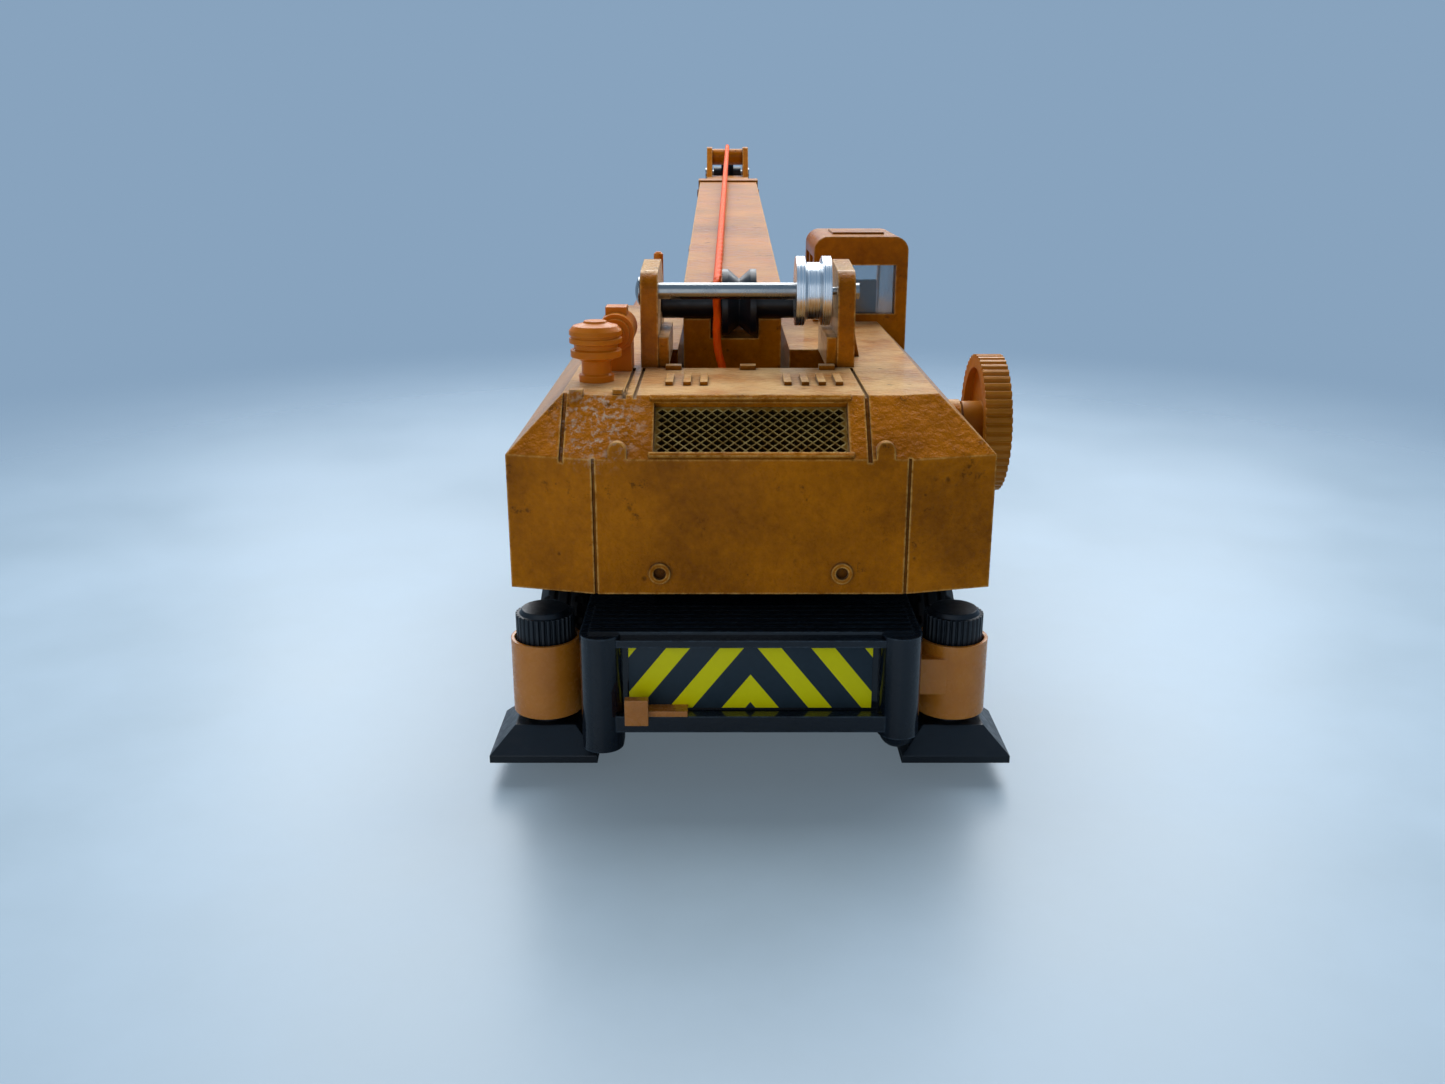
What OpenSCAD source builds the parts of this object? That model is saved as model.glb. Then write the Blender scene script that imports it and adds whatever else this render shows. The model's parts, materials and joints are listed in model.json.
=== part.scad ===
// Toy truck crane: a die-cast carrier on four axles with a slewing telescopic crane.
// Units are millimetres. X points right as seen from behind, Y forward and Z up.
// The origin lies on the ground under the slewing axis.

/* [Wheels] */
// Outer diameter of the tyres
tyre_d = 17; // [15:0.2:20.6]
// Width of one tyre
tyre_w = 5.4; // [4.6:0.1:5.6]
// Diameter of the steel axles
axle_d = 2; // [1.6:0.1:2.4]

/* [Crane housing] */
// Width over the sides of the housing
housing_w = 50; // [46:0.5:60]
// Slewing axis to the rear face of the counterweight
tail_y = 55; // [52:0.5:66]
// Height of the upright part of the rear face
tail_face_h = 14.2; // [13:0.2:18]
// Height and run of the sloping edges round the deck
slope = 5.5; // [4.5:0.1:6.6]
// Width of the middle panel of the rear face
tail_flat_w = 31.8; // [26:0.2:38]
// How far the outer panels of the rear face sweep forward
tail_sweep = 2.3; // [1:0.1:4]
// Slewing axis to the front wall of the housing
front_y = 27; // [24:0.5:33]
// Wall thickness of the castings
wall = 1.6; // [1.2:0.1:2]
// Thickness of the plate that closes the housing below
floor_t = 2; // [1.6:0.1:2.4]

/* [Boom foot] */
// Width between the two ears
ear_gap = 20.6; // [19.6:0.2:24.8]
// Thickness of one ear
ear_t = 2; // [1.6:0.1:2.4]
// Boom pivot behind the slewing axis
pivot_back = 22.5; // [20:0.5:24]
// Boom pivot above the deck
pivot_h = 6.3; // [5.6:0.1:7.6]
// Diameter of the black pivot shaft
shaft_d = 3.8; // [3.2:0.1:4.6]
// Diameter of the steel guide rod
rod_d = 1.9; // [1.5:0.1:2.3]
// Outer diameter of the grooved pulley and of the spool
pulley_d = 7.9; // [6.6:0.1:8.2]

/* [Boom] */
// Offset of the boom to the right of the slewing axis
boom_x = -1.7; // [-2.2:0.1:-1.2]
// Width of the base section
boom_w = 11.9; // [10.4:0.1:14.3]
// Height of the base section
boom_h = 10.25; // [9.6:0.05:10.6]
// Pivot to the front end of the base section
boom_l = 130; // [108:1:156]
// Wall of each boom section
boom_wall = 1; // [0.8:0.05:1.2]
// How far each inner section shows at rest
boom_step = 20; // [16:1:26]
// Elevation of the boom at rest, in degrees
boom_rest = 4; // [3:0.5:6]

/* [Winch] */
// Outer diameter of the handwheel
wheel_d = 16.5; // [14:0.5:20]
// Diameter of the winch shaft
winch_d = 3; // [2.4:0.1:3.6]
// Diameter of the hoist rope
rope_d = 1; // [0.8:0.05:1]
// Turns of rope on the drum
rope_turns = 3.5; // [1.5:1:4.5]

/* [Luffing cylinder] */
// Outer diameter of the barrel
barrel_d = 4; // [3.6:0.1:4.8]
// Diameter of the piston rod
piston_d = 2.1; // [1.8:0.1:2.4]

/* [Outriggers] */
// Slewing axis to the rear jacks
rear_jack_y = -50.2; // [-54:0.2:-49]
// Slewing axis to the front jacks
front_jack_y = 30; // [26:0.5:34]
// Jack axis to the middle plane
jack_x = 22; // [21.6:0.2:26]
// Outer diameter of the jack cylinder
jack_d = 7.5; // [7:0.1:8.1]
// Diameter of the knurled knob
knob_d = 6.3; // [5.2:0.1:6.4]
// Side of the square float
float_w = 11.5; // [9.6:0.1:13.8]

/* [Cabs] */
// Width of the operator's cab
cab_w = 13.5; // [12:0.1:15.4]
// Slewing axis to the rear wall of the operator's cab
cab_y = 7.5; // [6:0.5:9]
// Height of the operator's cab above the deck
cab_h = 12; // [10:0.2:14.4]
// Width of the driver's cab
truck_cab_w = 47; // [44:0.5:50]
// Slewing axis to the rear wall of the driver's cab
truck_cab_y = 92; // [90:0.5:96]
// Height of the driver's cab above the ground
truck_cab_z = 32; // [30:0.5:36]

/* [Hidden] */
$fn = 48;
// Radial clearance of a turning fit
run = 0.05;
// Clearance between pieces that slide past each other
gap = 0.3;
// Extra reach of a cut beyond the face it opens
over = 1;

// Heights of the carrier
axle_z = tyre_d / 2;
carrier_z = tyre_d + 0.8;
axle_seat = 0.5;
spine_z = axle_z - axle_d / 2 - axle_seat;
fender_z = carrier_z + 1.5;
fender_t = 1;
ring_h = 3;
ring_r = 17;
spine_w = 22;

// Heights of the crane
housing_z = carrier_z + ring_h + gap;
ridge_z = housing_z + tail_face_h;
deck_z = ridge_z + slope;
floor_z = housing_z + floor_t;

// Ears, rod and pivot
ear_x = ear_gap / 2;
pivot_y = -pivot_back;
pivot_z = deck_z + pivot_h;
rod_y = pivot_y - 7;
rod_z = pivot_z + 2.1;
journal_r = 1.2;
rod_neck_r = 0.45;
pit_y0 = pivot_y - 10.3;
pit_y1 = pivot_y + 3.5;
web = 1.2;

// Boom sections, measured along s from the pivot and along n at right angles to it
boom_top = shaft_d / 2 - 0.15;
boom_mid_n = boom_top - boom_h / 2;
slot_x0 = boom_x - boom_w / 2 - 0.85;
slot_x1 = boom_x + boom_w / 2 + 1.25;
middle_w = boom_w - 2 * (boom_wall + gap);
middle_h = boom_h - 2 * (boom_wall + gap);
tip_w = middle_w - 2 * (boom_wall + gap);
tip_h = middle_h - 2 * (boom_wall + gap);
foot_l = 33;
middle_s0 = foot_l + 3;
middle_s1 = boom_l + boom_step;
tip_s0 = middle_s0 + 14;
tip_s1 = middle_s1 + boom_step - 2;

// Boom head
head_w = 10;
cheek_t = 1.3;
sheave_s = tip_s1 + 13;
sheave_n = boom_mid_n + 1.9;
sheave_r = 3.4;
guide_s = sheave_s - 9;
guide_n = sheave_n + 4.7;
guide_r = 1.9;
head_pin_r = 0.8;
sheave_w = 3;
rope_r = rope_d / 2;
rope_off = rope_r + 0.05;

// Winch
winch_y = pivot_y - 3.5;
winch_z = pivot_z - 14.1;
drum_r = 2.6;
drum_flange_r = 4.8;
drum_flange_t = 0.7;
drum_x0 = boom_x - 6.2;
drum_x1 = boom_x + 6.1;
winch_boss_l = 0.8;
winch_boss_r = winch_d / 2 + 1.3;
wheel_w = 3.1;
wheel_x = housing_w / 2 + 2.6;
wheel_hub_r = 2.6;
wheel_teeth = 48;
wind_r = drum_r + rope_off;
wind_pitch = rope_d + 0.45;
wind_x = -1.9;

// Grooved pulley and rope on the shaft
pulley_x0 = boom_x - 1.25;
pulley_w = 4.1;
rope_x = pulley_x0 - rope_r - 0.1;
wrap_r = shaft_d / 2 + rope_off;
pocket_r = pulley_d / 2 + 0.4;

// Luffing cylinder: both pins lie at the same distance from the boom pivot
link_s = 20.6;
link_n = boom_top - boom_h - 2;
link_r = norm([link_s, link_n]);
link_deg = 77.5;
luff_max = 56;
luff_min = 2;
barrel_y = pivot_y + link_r * cos(link_deg);
barrel_z = pivot_z - link_r * sin(link_deg);
lean_rest = link_deg + atan2(link_n, link_s) + boom_rest;
luff_l = 2 * link_r * sin(lean_rest / 2);
luff_deg = 90 - link_deg + lean_rest / 2;
luff_l_min = 2 * link_r * sin((lean_rest - luff_min) / 2);
luff_l_max = 2 * link_r * sin((lean_rest + luff_max) / 2);
eye_r = 1.6;
eye_w = 2.3;
luff_pin_r = 0.8;
barrel_l = luff_l_min - eye_r - 0.45;
piston_l = luff_l_max - barrel_l + 1.2;
bore_end = luff_l_min - piston_l - gap;
trunnion_r = 0.9;
trunnion_l = 2;

// Outrigger jacks
cup_z0 = carrier_z - 11.4;
cup_z1 = carrier_z - 3.1;
cup_floor = 2.5;
cup_r = knob_d / 2 + 0.2;
stem_r = 1.4;
float_z = carrier_z - 15.5;
float_rim = 0.8;
float_h = 3.3;
float_top_w = 6.5;
float_boss_r = 2.35;
knob_z0 = cup_z1 - 1;
knob_z1 = carrier_z + 0.1;
knob_teeth = 32;
beam_w = 3.4;
beam_h = 4;
beam_z = carrier_z - 8.5;
beam_step = 1.9;
beam_end = 12;
block_w = 35;

// Axles along the carrier
tandem = tyre_d + 0.7;
rear_axle_y = rear_jack_y + float_w / 2 + 0.45 + tyre_d / 2;
front_axle_y = truck_cab_y - tyre_d / 2 - 3.5;
AXLES = [["rear", rear_axle_y, true], ["third", rear_axle_y + tandem, true],
    ["second", front_axle_y - tandem - 2.3, false], ["front", front_axle_y, false]];
twin_gap = 0.5;
track_x = 24;
rim_r = tyre_d / 2 - 2.9;

// Corners of the carrier: name, side and jack position along it
CORNERS = [["rear_left", -1, rear_jack_y], ["rear_right", 1, rear_jack_y],
    ["front_left", -1, front_jack_y], ["front_right", 1, front_jack_y]];

// Rear end of the carrier
stern_y = rear_jack_y - 9.3;
panel_y = stern_y + 2.5;
panel_w = 25.4;
panel_h = 7.4;
panel_z = carrier_z - 8.6;
post_r = 2.15;
post_x = 15.4;
post_z = carrier_z - 12.6;
ledge_z = carrier_z - 10.5;
block_l = 15;

// Cabs
cab_x1 = housing_w / 2 - 1.3;
cab_x0 = cab_x1 - cab_w;
cab_top = deck_z + cab_h;
cab_l = 22.5;
cab_wall = 1.2;
glass_t = 0.6;
glass_gap = 0.05;
seat_z = deck_z - 7;
truck_cab_l = 34;
truck_cab_floor = spine_z + 2.2;

// Rope points in the plane of the boom and on the slewing side
function boom_y(s, n) = pivot_y + s * cos(boom_rest) - n * sin(boom_rest);
function boom_z(s, n) = pivot_z + s * sin(boom_rest) + n * cos(boom_rest);
function boom_point(x, s, n) = [x, boom_y(s, n), boom_z(s, n)];
function unit(v) = v / norm(v);
function tangent(path, i) = unit(path[min(i + 1, len(path) - 1)] - path[max(i - 1, 0)]);

// Tube of triangles swept along a path that never runs along X
module tube(path, r, sides) {
    n = len(path);
    points = [for (i = [0:n - 1])
        let (t = tangent(path, i), u = unit([1, 0, 0] - t[0] * t), v = cross(t, u))
        for (j = [0:sides - 1])
            path[i] + r * (cos(360 * j / sides) * u + sin(360 * j / sides) * v)];
    walls = [for (i = [0:n - 2], j = [0:sides - 1])
        let (k = (j + 1) % sides, a = i * sides, b = a + sides)
        each [[a + j, b + j, a + k], [a + k, b + j, b + k]]];
    last = (n - 1) * sides;
    caps = [for (j = [1:sides - 2])
        each [[0, j, j + 1], [last, last + j + 1, last + j]]];
    polyhedron(points, concat(walls, caps));
}

// Places its children in the frame of the boom: Y along the boom, Z away from it
module on_boom() {
    translate([boom_x, pivot_y, pivot_z]) rotate([boom_rest, 0, 0]) children();
}

// Cylinder along X from x0 to x1
module bar_x(x0, x1, r) {
    translate([x0, 0, 0]) rotate([0, 90, 0]) cylinder(r = r, h = x1 - x0);
}

// Profile in Y and Z drawn out along X from x0 to x1
module plate_x(x0, x1) {
    translate([x0, 0, 0]) rotate([90, 0, 90]) linear_extrude(x1 - x0) children();
}

// Profile in X and Z drawn out along Y from y0 to y1
module plate_y(y0, y1) {
    translate([0, y1, 0]) rotate([90, 0, 0]) linear_extrude(y1 - y0) children();
}

// Box between two corners
module box(low, high) {
    translate(low) cube(high - low);
}

// Outline with two round upper corners, from x0 to x1 and z0 to z1
module arch(x0, x1, z0, z1, r) {
    translate([x0, z0]) square([x1 - x0, z1 - z0 - r]);
    translate([x0 + r, z0]) square([x1 - x0 - 2 * r, z1 - z0]);
    for (x = [x0 + r, x1 - r]) translate([x, z1 - r]) circle(r);
}

// Toothed rim for the knurled knobs and the handwheel
module knurl(r, depth, teeth, h) {
    linear_extrude(h) polygon([for (i = [0:teeth - 1])
        let (a = 360 / teeth, c = i * a)
        each [[r * cos(c), r * sin(c)], [r * cos(c + 0.4 * a), r * sin(c + 0.4 * a)],
            [(r - depth) * cos(c + 0.7 * a), (r - depth) * sin(c + 0.7 * a)]]]);
}

// Plan corners of the housing, drawn in by d: rear left, tail left, tail right, rear right
sweep_deg = atan2(tail_sweep, (housing_w - tail_flat_w) / 2);
function tail_x(d) = tail_flat_w / 2 - d * tan(sweep_deg / 2);
function side_y(d) = -tail_y + d + (housing_w / 2 - d - tail_x(d)) * tan(sweep_deg);
function plan(d) = [[-housing_w / 2 + d, side_y(d)], [-tail_x(d), -tail_y + d],
    [tail_x(d), -tail_y + d], [housing_w / 2 - d, side_y(d)], [housing_w / 2 - d, cab_y - d],
    [cab_x0 - d, cab_y - d], [cab_x0 - d, front_y - d], [-housing_w / 2 + d, front_y - d]];

// Cutter for the 45 degree slope above the wall from p to q, which has the solid on its left
module slope_cut(p, q, edge, top) {
    l = norm(q - p);
    translate([p[0], p[1], 0]) rotate([0, 0, atan2(q[1] - p[1], q[0] - p[0])]) plate_x(-l, 2 * l)
        polygon([[-over, edge - over], [top - edge + over, top + over], [-over, top + over]]);
}

// Solid of the housing, drawn in by d from all but its underside
module hood(d, z0) {
    edge = ridge_z - d * (sqrt(2) - 1);
    top = deck_z - d;
    corner = plan(d);
    difference() {
        translate([0, 0, z0]) linear_extrude(top - z0) polygon(corner);
        for (i = [0:3]) slope_cut(corner[i], corner[i + 1], edge, top);
        slope_cut(corner[7], corner[0], edge, top);
    }
}

// Places its children on the rear slope: X across, Y up the slope, Z out of it
module on_slope() {
    translate([0, -tail_y, ridge_z]) rotate([45, 0, 0]) children();
}

// Shell of a cab: upright rear wall, raked windscreen and a roof with round edges
module cab_shape(x0, x1, y0, y1, z0, sill, top, rake, r, d) {
    intersection() {
        plate_x(x0 + d, x1 - d) polygon([[y0 + d, z0], [y0 + d, top - d],
            [y1 - rake - d, top - d], [y1 - d, sill], [y1 - d, z0]]);
        plate_y(y0, y1) arch(x0 + d, x1 - d, z0 - over, top - d, r);
    }
}

// Radiator grille sizes
grille_w = 19.8;
grille_l = 6;
grille_t = 0.8;
grille_low = (slope * sqrt(2) - grille_l) / 2;
mesh_cols = 17;
mesh_rows = 6;
mesh_bar = 0.17;
grille_frame = 0.2;

module ear_outline() {
    rod_boss = 2.4;
    pivot_boss = 5.1;
    polygon([[pit_y0 + 0.4, deck_z - wall], [rod_y - rod_boss, rod_z], [rod_y, rod_z + rod_boss],
        [pivot_y, pivot_z + pivot_boss], [pivot_y + pivot_boss, pivot_z],
        [pivot_y + pivot_boss + 2, deck_z - wall]]);
    translate([rod_y, rod_z]) circle(rod_boss);
    translate([pivot_y, pivot_z]) circle(pivot_boss);
}

// Ears with the thicker feet inside and one small gusset on the right
module ears() {
    foot_t = 1.2;
    foot_h = 3.4;
    gusset_w = 1.7;
    gusset_h = 6.5;
    for (x = [-ear_x - ear_t, ear_x]) plate_x(x, x + ear_t) ear_outline();
    for (x = [-ear_x, ear_x - foot_t])
        box([x, pit_y0 + 0.8, deck_z - wall], [x + foot_t, pit_y1 + 0.5, deck_z + foot_h]);
    plate_y(pivot_y - 2, pivot_y - 0.8) polygon([[ear_x + ear_t, deck_z - wall],
        [ear_x + ear_t + gusset_w, deck_z - wall], [ear_x + ear_t, deck_z + gusset_h]]);
}

// Walls of the pit under the ears and of the slot in front of it
module pit_walls() {
    z0 = floor_z + glass_gap;
    z1 = deck_z - wall / 2;
    for (x = [-ear_x - web, ear_x]) box([x, pit_y0 - web, z0], [x + web, pit_y1 + web, z1]);
    box([-ear_x - web, pit_y0 - web, winch_z - drum_flange_r], [ear_x + web, pit_y0, z1]);
    box([-ear_x - web, pit_y1, z0], [slot_x0, pit_y1 + web, z1]);
    box([slot_x1, pit_y1, z0], [ear_x + web, pit_y1 + web, z1]);
    for (x = [slot_x0 - web, slot_x1]) box([x, pit_y1, z0], [x + web, front_y - wall / 2, z1]);
}

// Louvres, seams and hinge tabs on the deck
module deck_detail() {
    rib_w = 0.8;
    rib_l = 5.5;
    rib_h = 0.4;
    rib_y = -tail_y + slope + 5.5;
    for (x = [-8.6, -6.7, -4.9, 4.1, 5.95, 7.75, 9.6])
        box([x - rib_w / 2, rib_y, deck_z - wall / 2], [x + rib_w / 2, rib_y + rib_l, deck_z + rib_h]);
    for (x = [-8.5, 0, 9])
        box([x - 0.9, pit_y0 - 1.4, deck_z - wall / 2], [x + 0.9, pit_y0, deck_z + 0.5]);
    for (x = [-18, -13.5])
        box([x - 0.7, -tail_y + slope + 0.2, deck_z - wall / 2],
            [x + 0.7, -tail_y + slope + 1.5, deck_z + 0.5]);
}

module deck_seams() {
    seam = 0.35;
    groove = 0.42;
    for (x = [-13, -11.9, 11.9])
        box([x - seam / 2, -tail_y + slope - over, deck_z - seam], [x + seam / 2, pit_y0, deck_z + over]);
    corner_x = housing_w / 2 - slope - 0.1;
    set_back = tail_sweep * (corner_x - tail_flat_w / 2) / (housing_w - tail_flat_w) * sqrt(2);
    on_slope() {
        box([11.9 - groove / 2, -0.2, -seam], [11.9 + groove / 2, slope * sqrt(2) + over, over]);
        box([-corner_x, -0.2, -seam - set_back], [-corner_x + groove, slope * sqrt(2) + over, over]);
    }
}

// Grooves along the folds of the rear face and round the doors in the sides
module wall_seams() {
    seam = 0.3;
    depth = 0.25;
    door_z0 = housing_z + 2.2;
    door_z1 = ridge_z - 1.4;
    for (side = [-1, 1]) box([side * tail_flat_w / 2 - seam / 2, -tail_y - over, housing_z - over],
        [side * tail_flat_w / 2 + seam / 2, -tail_y + depth, ridge_z + 0.1]);
    for (x = [-housing_w / 2 - over, housing_w / 2 - depth]) {
        for (y = [-tail_y + 8, -tail_y + 19, cab_y - 15, cab_y - 4])
            box([x, y, door_z0], [x + depth + over, y + seam, door_z1]);
        for (y = [-tail_y + 8, cab_y - 15], z = [door_z0, door_z1 - seam])
            box([x, y, z], [x + depth + over, y + 11, z + seam]);
    }
}

// Ring bosses and tabs on the counterweight
module tail_detail() {
    boss_r = 1.1;
    tab_w = 1.9;
    tab_h = 1.8;
    tab_t = 0.9;
    for (x = [-9.35, 9.35])
        translate([x, -tail_y + wall / 2, housing_z + 2.3]) rotate([90, 0, 0])
            cylinder(r = boss_r, h = wall / 2 + 0.4);
    for (x = [-13.45, 13.45])
        plate_y(-tail_y, -tail_y + tab_t)
            arch(x - tab_w / 2, x + tab_w / 2, ridge_z - 1, ridge_z + tab_h, tab_w / 2 - 0.01);
    lip = 0.4;
    for (y = [grille_low - 0.7, grille_low + grille_l + 0.2])
        on_slope() box([-grille_w / 2 - 0.4, y, -wall / 2], [grille_w / 2 + 0.4, y + 0.5, lip]);
}

module crane_housing() {
    color("darkgoldenrod") difference() {
        union() {
            difference() {
                hood(0, housing_z);
                hood(wall, housing_z - over);
            }
            difference() {
                pit_walls();
                box([slot_x0, pit_y1 - over, floor_z], [slot_x1, front_y + over, deck_z + over]);
            }
            ears();
            deck_detail();
            tail_detail();
            translate([0, winch_y, winch_z])
                bar_x(housing_w / 2 - wall, housing_w / 2 + winch_boss_l, winch_boss_r);
        }
        box([-ear_x, pit_y0, winch_z], [ear_x, pit_y1, deck_z]);
        box([slot_x0, pit_y1 - over, deck_z - 6], [slot_x1, front_y + over, deck_z + over]);
        box([cab_x0 - over, cab_y - wall - over, housing_z - over],
            [cab_x1 + over, cab_y + over, floor_z + glass_gap]);
        deck_seams();
        wall_seams();
        on_slope() box([-grille_w / 2, grille_low, -3 * wall],
            [grille_w / 2, grille_low + grille_l, wall]);
        for (x = [-9.35, 9.35]) translate([x, -tail_y + 0.3, housing_z + 2.3])
            rotate([90, 0, 0]) cylinder(r = 0.65, h = over);
        translate([0, pivot_y, pivot_z])
            bar_x(-ear_x - ear_t - over, ear_x + ear_t + over, journal_r + run);
        translate([0, rod_y, rod_z]) {
            bar_x(-ear_x - ear_t - over, 0, rod_d / 2 + run);
            bar_x(0, ear_x + ear_t + over, rod_neck_r + run);
        }
        translate([0, winch_y, winch_z])
            bar_x(-ear_x - web - over, housing_w / 2 + winch_boss_l + over, winch_d / 2 + run);
    }
}

module crane_floor() {
    lug_t = 1.6;
    lug_x = barrel_d / 2 + gap;
    lug_w = 4.2;
    color("dimgray") difference() {
        union() {
            translate([0, 0, housing_z]) linear_extrude(floor_t) polygon(plan(wall + glass_gap));
            box([cab_x0 + glass_gap, cab_y - wall - 0.1, housing_z], [cab_x1, cab_y + cab_l, floor_z]);
            for (x = [boom_x - lug_x - lug_t, boom_x + lug_x]) {
                box([x, barrel_y - lug_w / 2, housing_z], [x + lug_t, barrel_y + lug_w / 2, barrel_z]);
                translate([0, barrel_y, barrel_z]) bar_x(x, x + lug_t, lug_w / 2);
            }
        }
        box([boom_x - lug_x, barrel_y - 4.5, housing_z - over],
            [boom_x + lug_x, barrel_y + 4.5, floor_z + over]);
        translate([0, 0, housing_z - over]) cylinder(r = 3 + run, h = floor_t + 2 * over);
        translate([boom_x, barrel_y, barrel_z])
            bar_x(-lug_x - lug_t - over, lug_x + lug_t + over, trunnion_r + run);
    }
}

// Grille plate with staggered diamond openings
module radiator_grille() {
    play = 0.05;
    w = grille_w - 2 * (play + grille_frame);
    l = grille_l - 2 * (play + grille_frame);
    cell_w = w / mesh_cols;
    cell_l = l / mesh_rows;
    hole_w = cell_w / 2 - mesh_bar / 2;
    hole_l = cell_l / 2 - mesh_bar / 2;
    color("darkgoldenrod") on_slope() translate([0, grille_low + grille_l / 2, -wall])
        linear_extrude(grille_t) difference() {
            square([grille_w - 2 * play, grille_l - 2 * play], center = true);
            for (i = [0:mesh_cols - 1], j = [0:mesh_rows - 1])
                translate([(i + 0.5) * cell_w - w / 2, (j + 0.5) * cell_l - l / 2])
                    polygon([[-hole_w, 0], [0, -hole_l], [hole_w, 0], [0, hole_l]]);
            for (i = [1:mesh_cols - 1], j = [1:mesh_rows - 1])
                translate([i * cell_w - w / 2, j * cell_l - l / 2])
                    polygon([[-hole_w, 0], [0, -hole_l], [hole_w, 0], [0, hole_l]]);
        }
}

// Mushroom-shaped air intake
module pre_cleaner() {
    color("darkorange") translate([-16.6, -tail_y + 14, deck_z]) rotate_extrude() polygon([[0, 0],
        [1.9, 0], [1.9, 0.7], [1.6, 0.9], [1.6, 2.2], [2.1, 2.5], [2.75, 2.7], [2.75, 3.4], [2.35, 3.6],
        [2.35, 4], [2.85, 4.2], [2.85, 4.7], [2.65, 4.8], [2.65, 4.95], [2.85, 5.05], [2.85, 5.5], [2.4, 6],
        [1.3, 6.3], [1.2, 6.5], [0, 6.5]]);
}

// Drum-shaped air filter lying on a pedestal, with stepped end rings and a cap on top
module air_cleaner() {
    r = 2.1;
    x = -ear_x - ear_t - 0.5 - r;
    y = -tail_y + 20;
    z = deck_z + 4.4;
    color("darkorange") {
        box([x - 1.7, y, deck_z], [x + 1.7, y + 4.4, z]);
        translate([x, y + 5.2, z]) rotate([90, 0, 0]) {
            cylinder(r = r, h = 6);
            cylinder(r = r - 0.5, h = 6.6);
            cylinder(r = r - 1.1, h = 7.2);
        }
        box([x - 1.2, y + 0.8, z], [x + 1.2, y + 3.6, z + r + 0.6]);
    }
}

module exhaust_stack() {
    color("darkorange") translate([-11.7, 0, deck_z]) rotate_extrude() polygon([[0, 0], [1.2, 0],
        [1.2, 0.6], [0.65, 0.9], [0.65, 10.2], [0.35, 10.5], [0, 10.5]]);
}

module operator_cab_shape(d, z0) {
    cab_shape(cab_x0, cab_x1, cab_y, cab_y + cab_l, z0, deck_z - 3, cab_top, 4, 2, d);
}

module operator_cab() {
    seam = 0.3;
    color("darkgoldenrod") difference() {
        union() {
            operator_cab_shape(0, floor_z);
            box([cab_x0 + 3, cab_y + 5, cab_top - 0.3], [cab_x1 - 3, cab_y + 13, cab_top + 0.3]);
            box([cab_x1 - 0.2, cab_y + 9.7, deck_z + 2.4], [cab_x1 + 0.35, cab_y + 10.3, deck_z + 5.6]);
        }
        operator_cab_shape(cab_wall, floor_z - over);
        for (y = [cab_y + 1.6, cab_y + 18.1])
            box([cab_x1 - seam, y, deck_z - 2.6], [cab_x1 + over, y + seam, cab_top - 2.4]);
        for (z = [deck_z - 2.6, cab_top - 2.4 - seam])
            box([cab_x1 - seam, cab_y + 1.6, z], [cab_x1 + over, cab_y + 18.4, z + seam]);
        box([cab_x0 + 2.4, cab_y - over, deck_z + 1.1], [cab_x1 - 1.7, cab_y + 3, cab_top - 4]);
        box([cab_x0 + 2, cab_y + cab_l - 7, deck_z - 2], [cab_x1 - 2, cab_y + cab_l + over, cab_top - 2.6]);
        for (y = [cab_y + 2.5, cab_y + 10.5])
            box([cab_x0 - over, y, deck_z - 0.5], [cab_x1 + over, y + 7, cab_top - 3]);
    }
}

module operator_glazing() {
    skin = cab_wall + glass_gap;
    color("lightblue", 0.5) difference() {
        operator_cab_shape(skin, deck_z - 3.4);
        operator_cab_shape(skin + glass_t, deck_z - 3.4 - over);
    }
}

// Seat, lever stand and floor of the operator's cab
module operator_seat() {
    x = (cab_x0 + cab_x1) / 2;
    y = cab_y + 6;
    half = cab_w / 2 - cab_wall - glass_t - 0.6;
    color("black") {
        box([x - half, cab_y + 3, floor_z], [x + half, cab_y + cab_l - 4, seat_z]);
        box([x - 3, y, seat_z - 0.5], [x + 3, y + 6.5, seat_z + 2.6]);
        plate_x(x - 2.9, x + 2.9) polygon([[y + 1.6, seat_z + 2], [y + 0.4, seat_z + 12.4],
            [y - 1.1, seat_z + 12.4], [y - 0.4, seat_z + 2]]);
        for (side = [-1, 1]) translate([x + side * 4, y + 5, seat_z]) cylinder(r = 0.45, h = 6);
    }
}

// Steel rod with a domed head on the left and a thin neck on the right
module guide_rod() {
    head_r = 1.6;
    head_h = 0.6;
    dome_r = 3.2;
    neck_x = ear_x - 0.6;
    color("silver") translate([0, rod_y, rod_z]) {
        bar_x(-ear_x - ear_t - 0.2, neck_x, rod_d / 2);
        bar_x(neck_x - over, ear_x + ear_t + 0.6, rod_neck_r);
        bar_x(ear_x + ear_t + 0.1, ear_x + ear_t + 0.6, 0.9);
        translate([-ear_x - ear_t - 0.1, 0, 0]) rotate([0, -90, 0]) intersection() {
            translate([0, 0, head_h - dome_r]) sphere(r = dome_r);
            cylinder(r = head_r, h = head_h);
        }
    }
}

// Turned aluminium spool with two flanges
module guide_spool() {
    spool_w = 4;
    flange = 1;
    groove_r = pulley_d / 2 - 0.7;
    color("lightgray") translate([ear_x - 0.8 - spool_w, rod_y, rod_z]) rotate([0, 90, 0])
        rotate_extrude() polygon([[rod_d / 2 + run, 0], [pulley_d / 2, 0], [pulley_d / 2, flange],
            [groove_r, flange + 0.3], [groove_r, spool_w - flange - 0.3],
            [pulley_d / 2, spool_w - flange], [pulley_d / 2, spool_w], [rod_d / 2 + run, spool_w]]);
}

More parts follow.
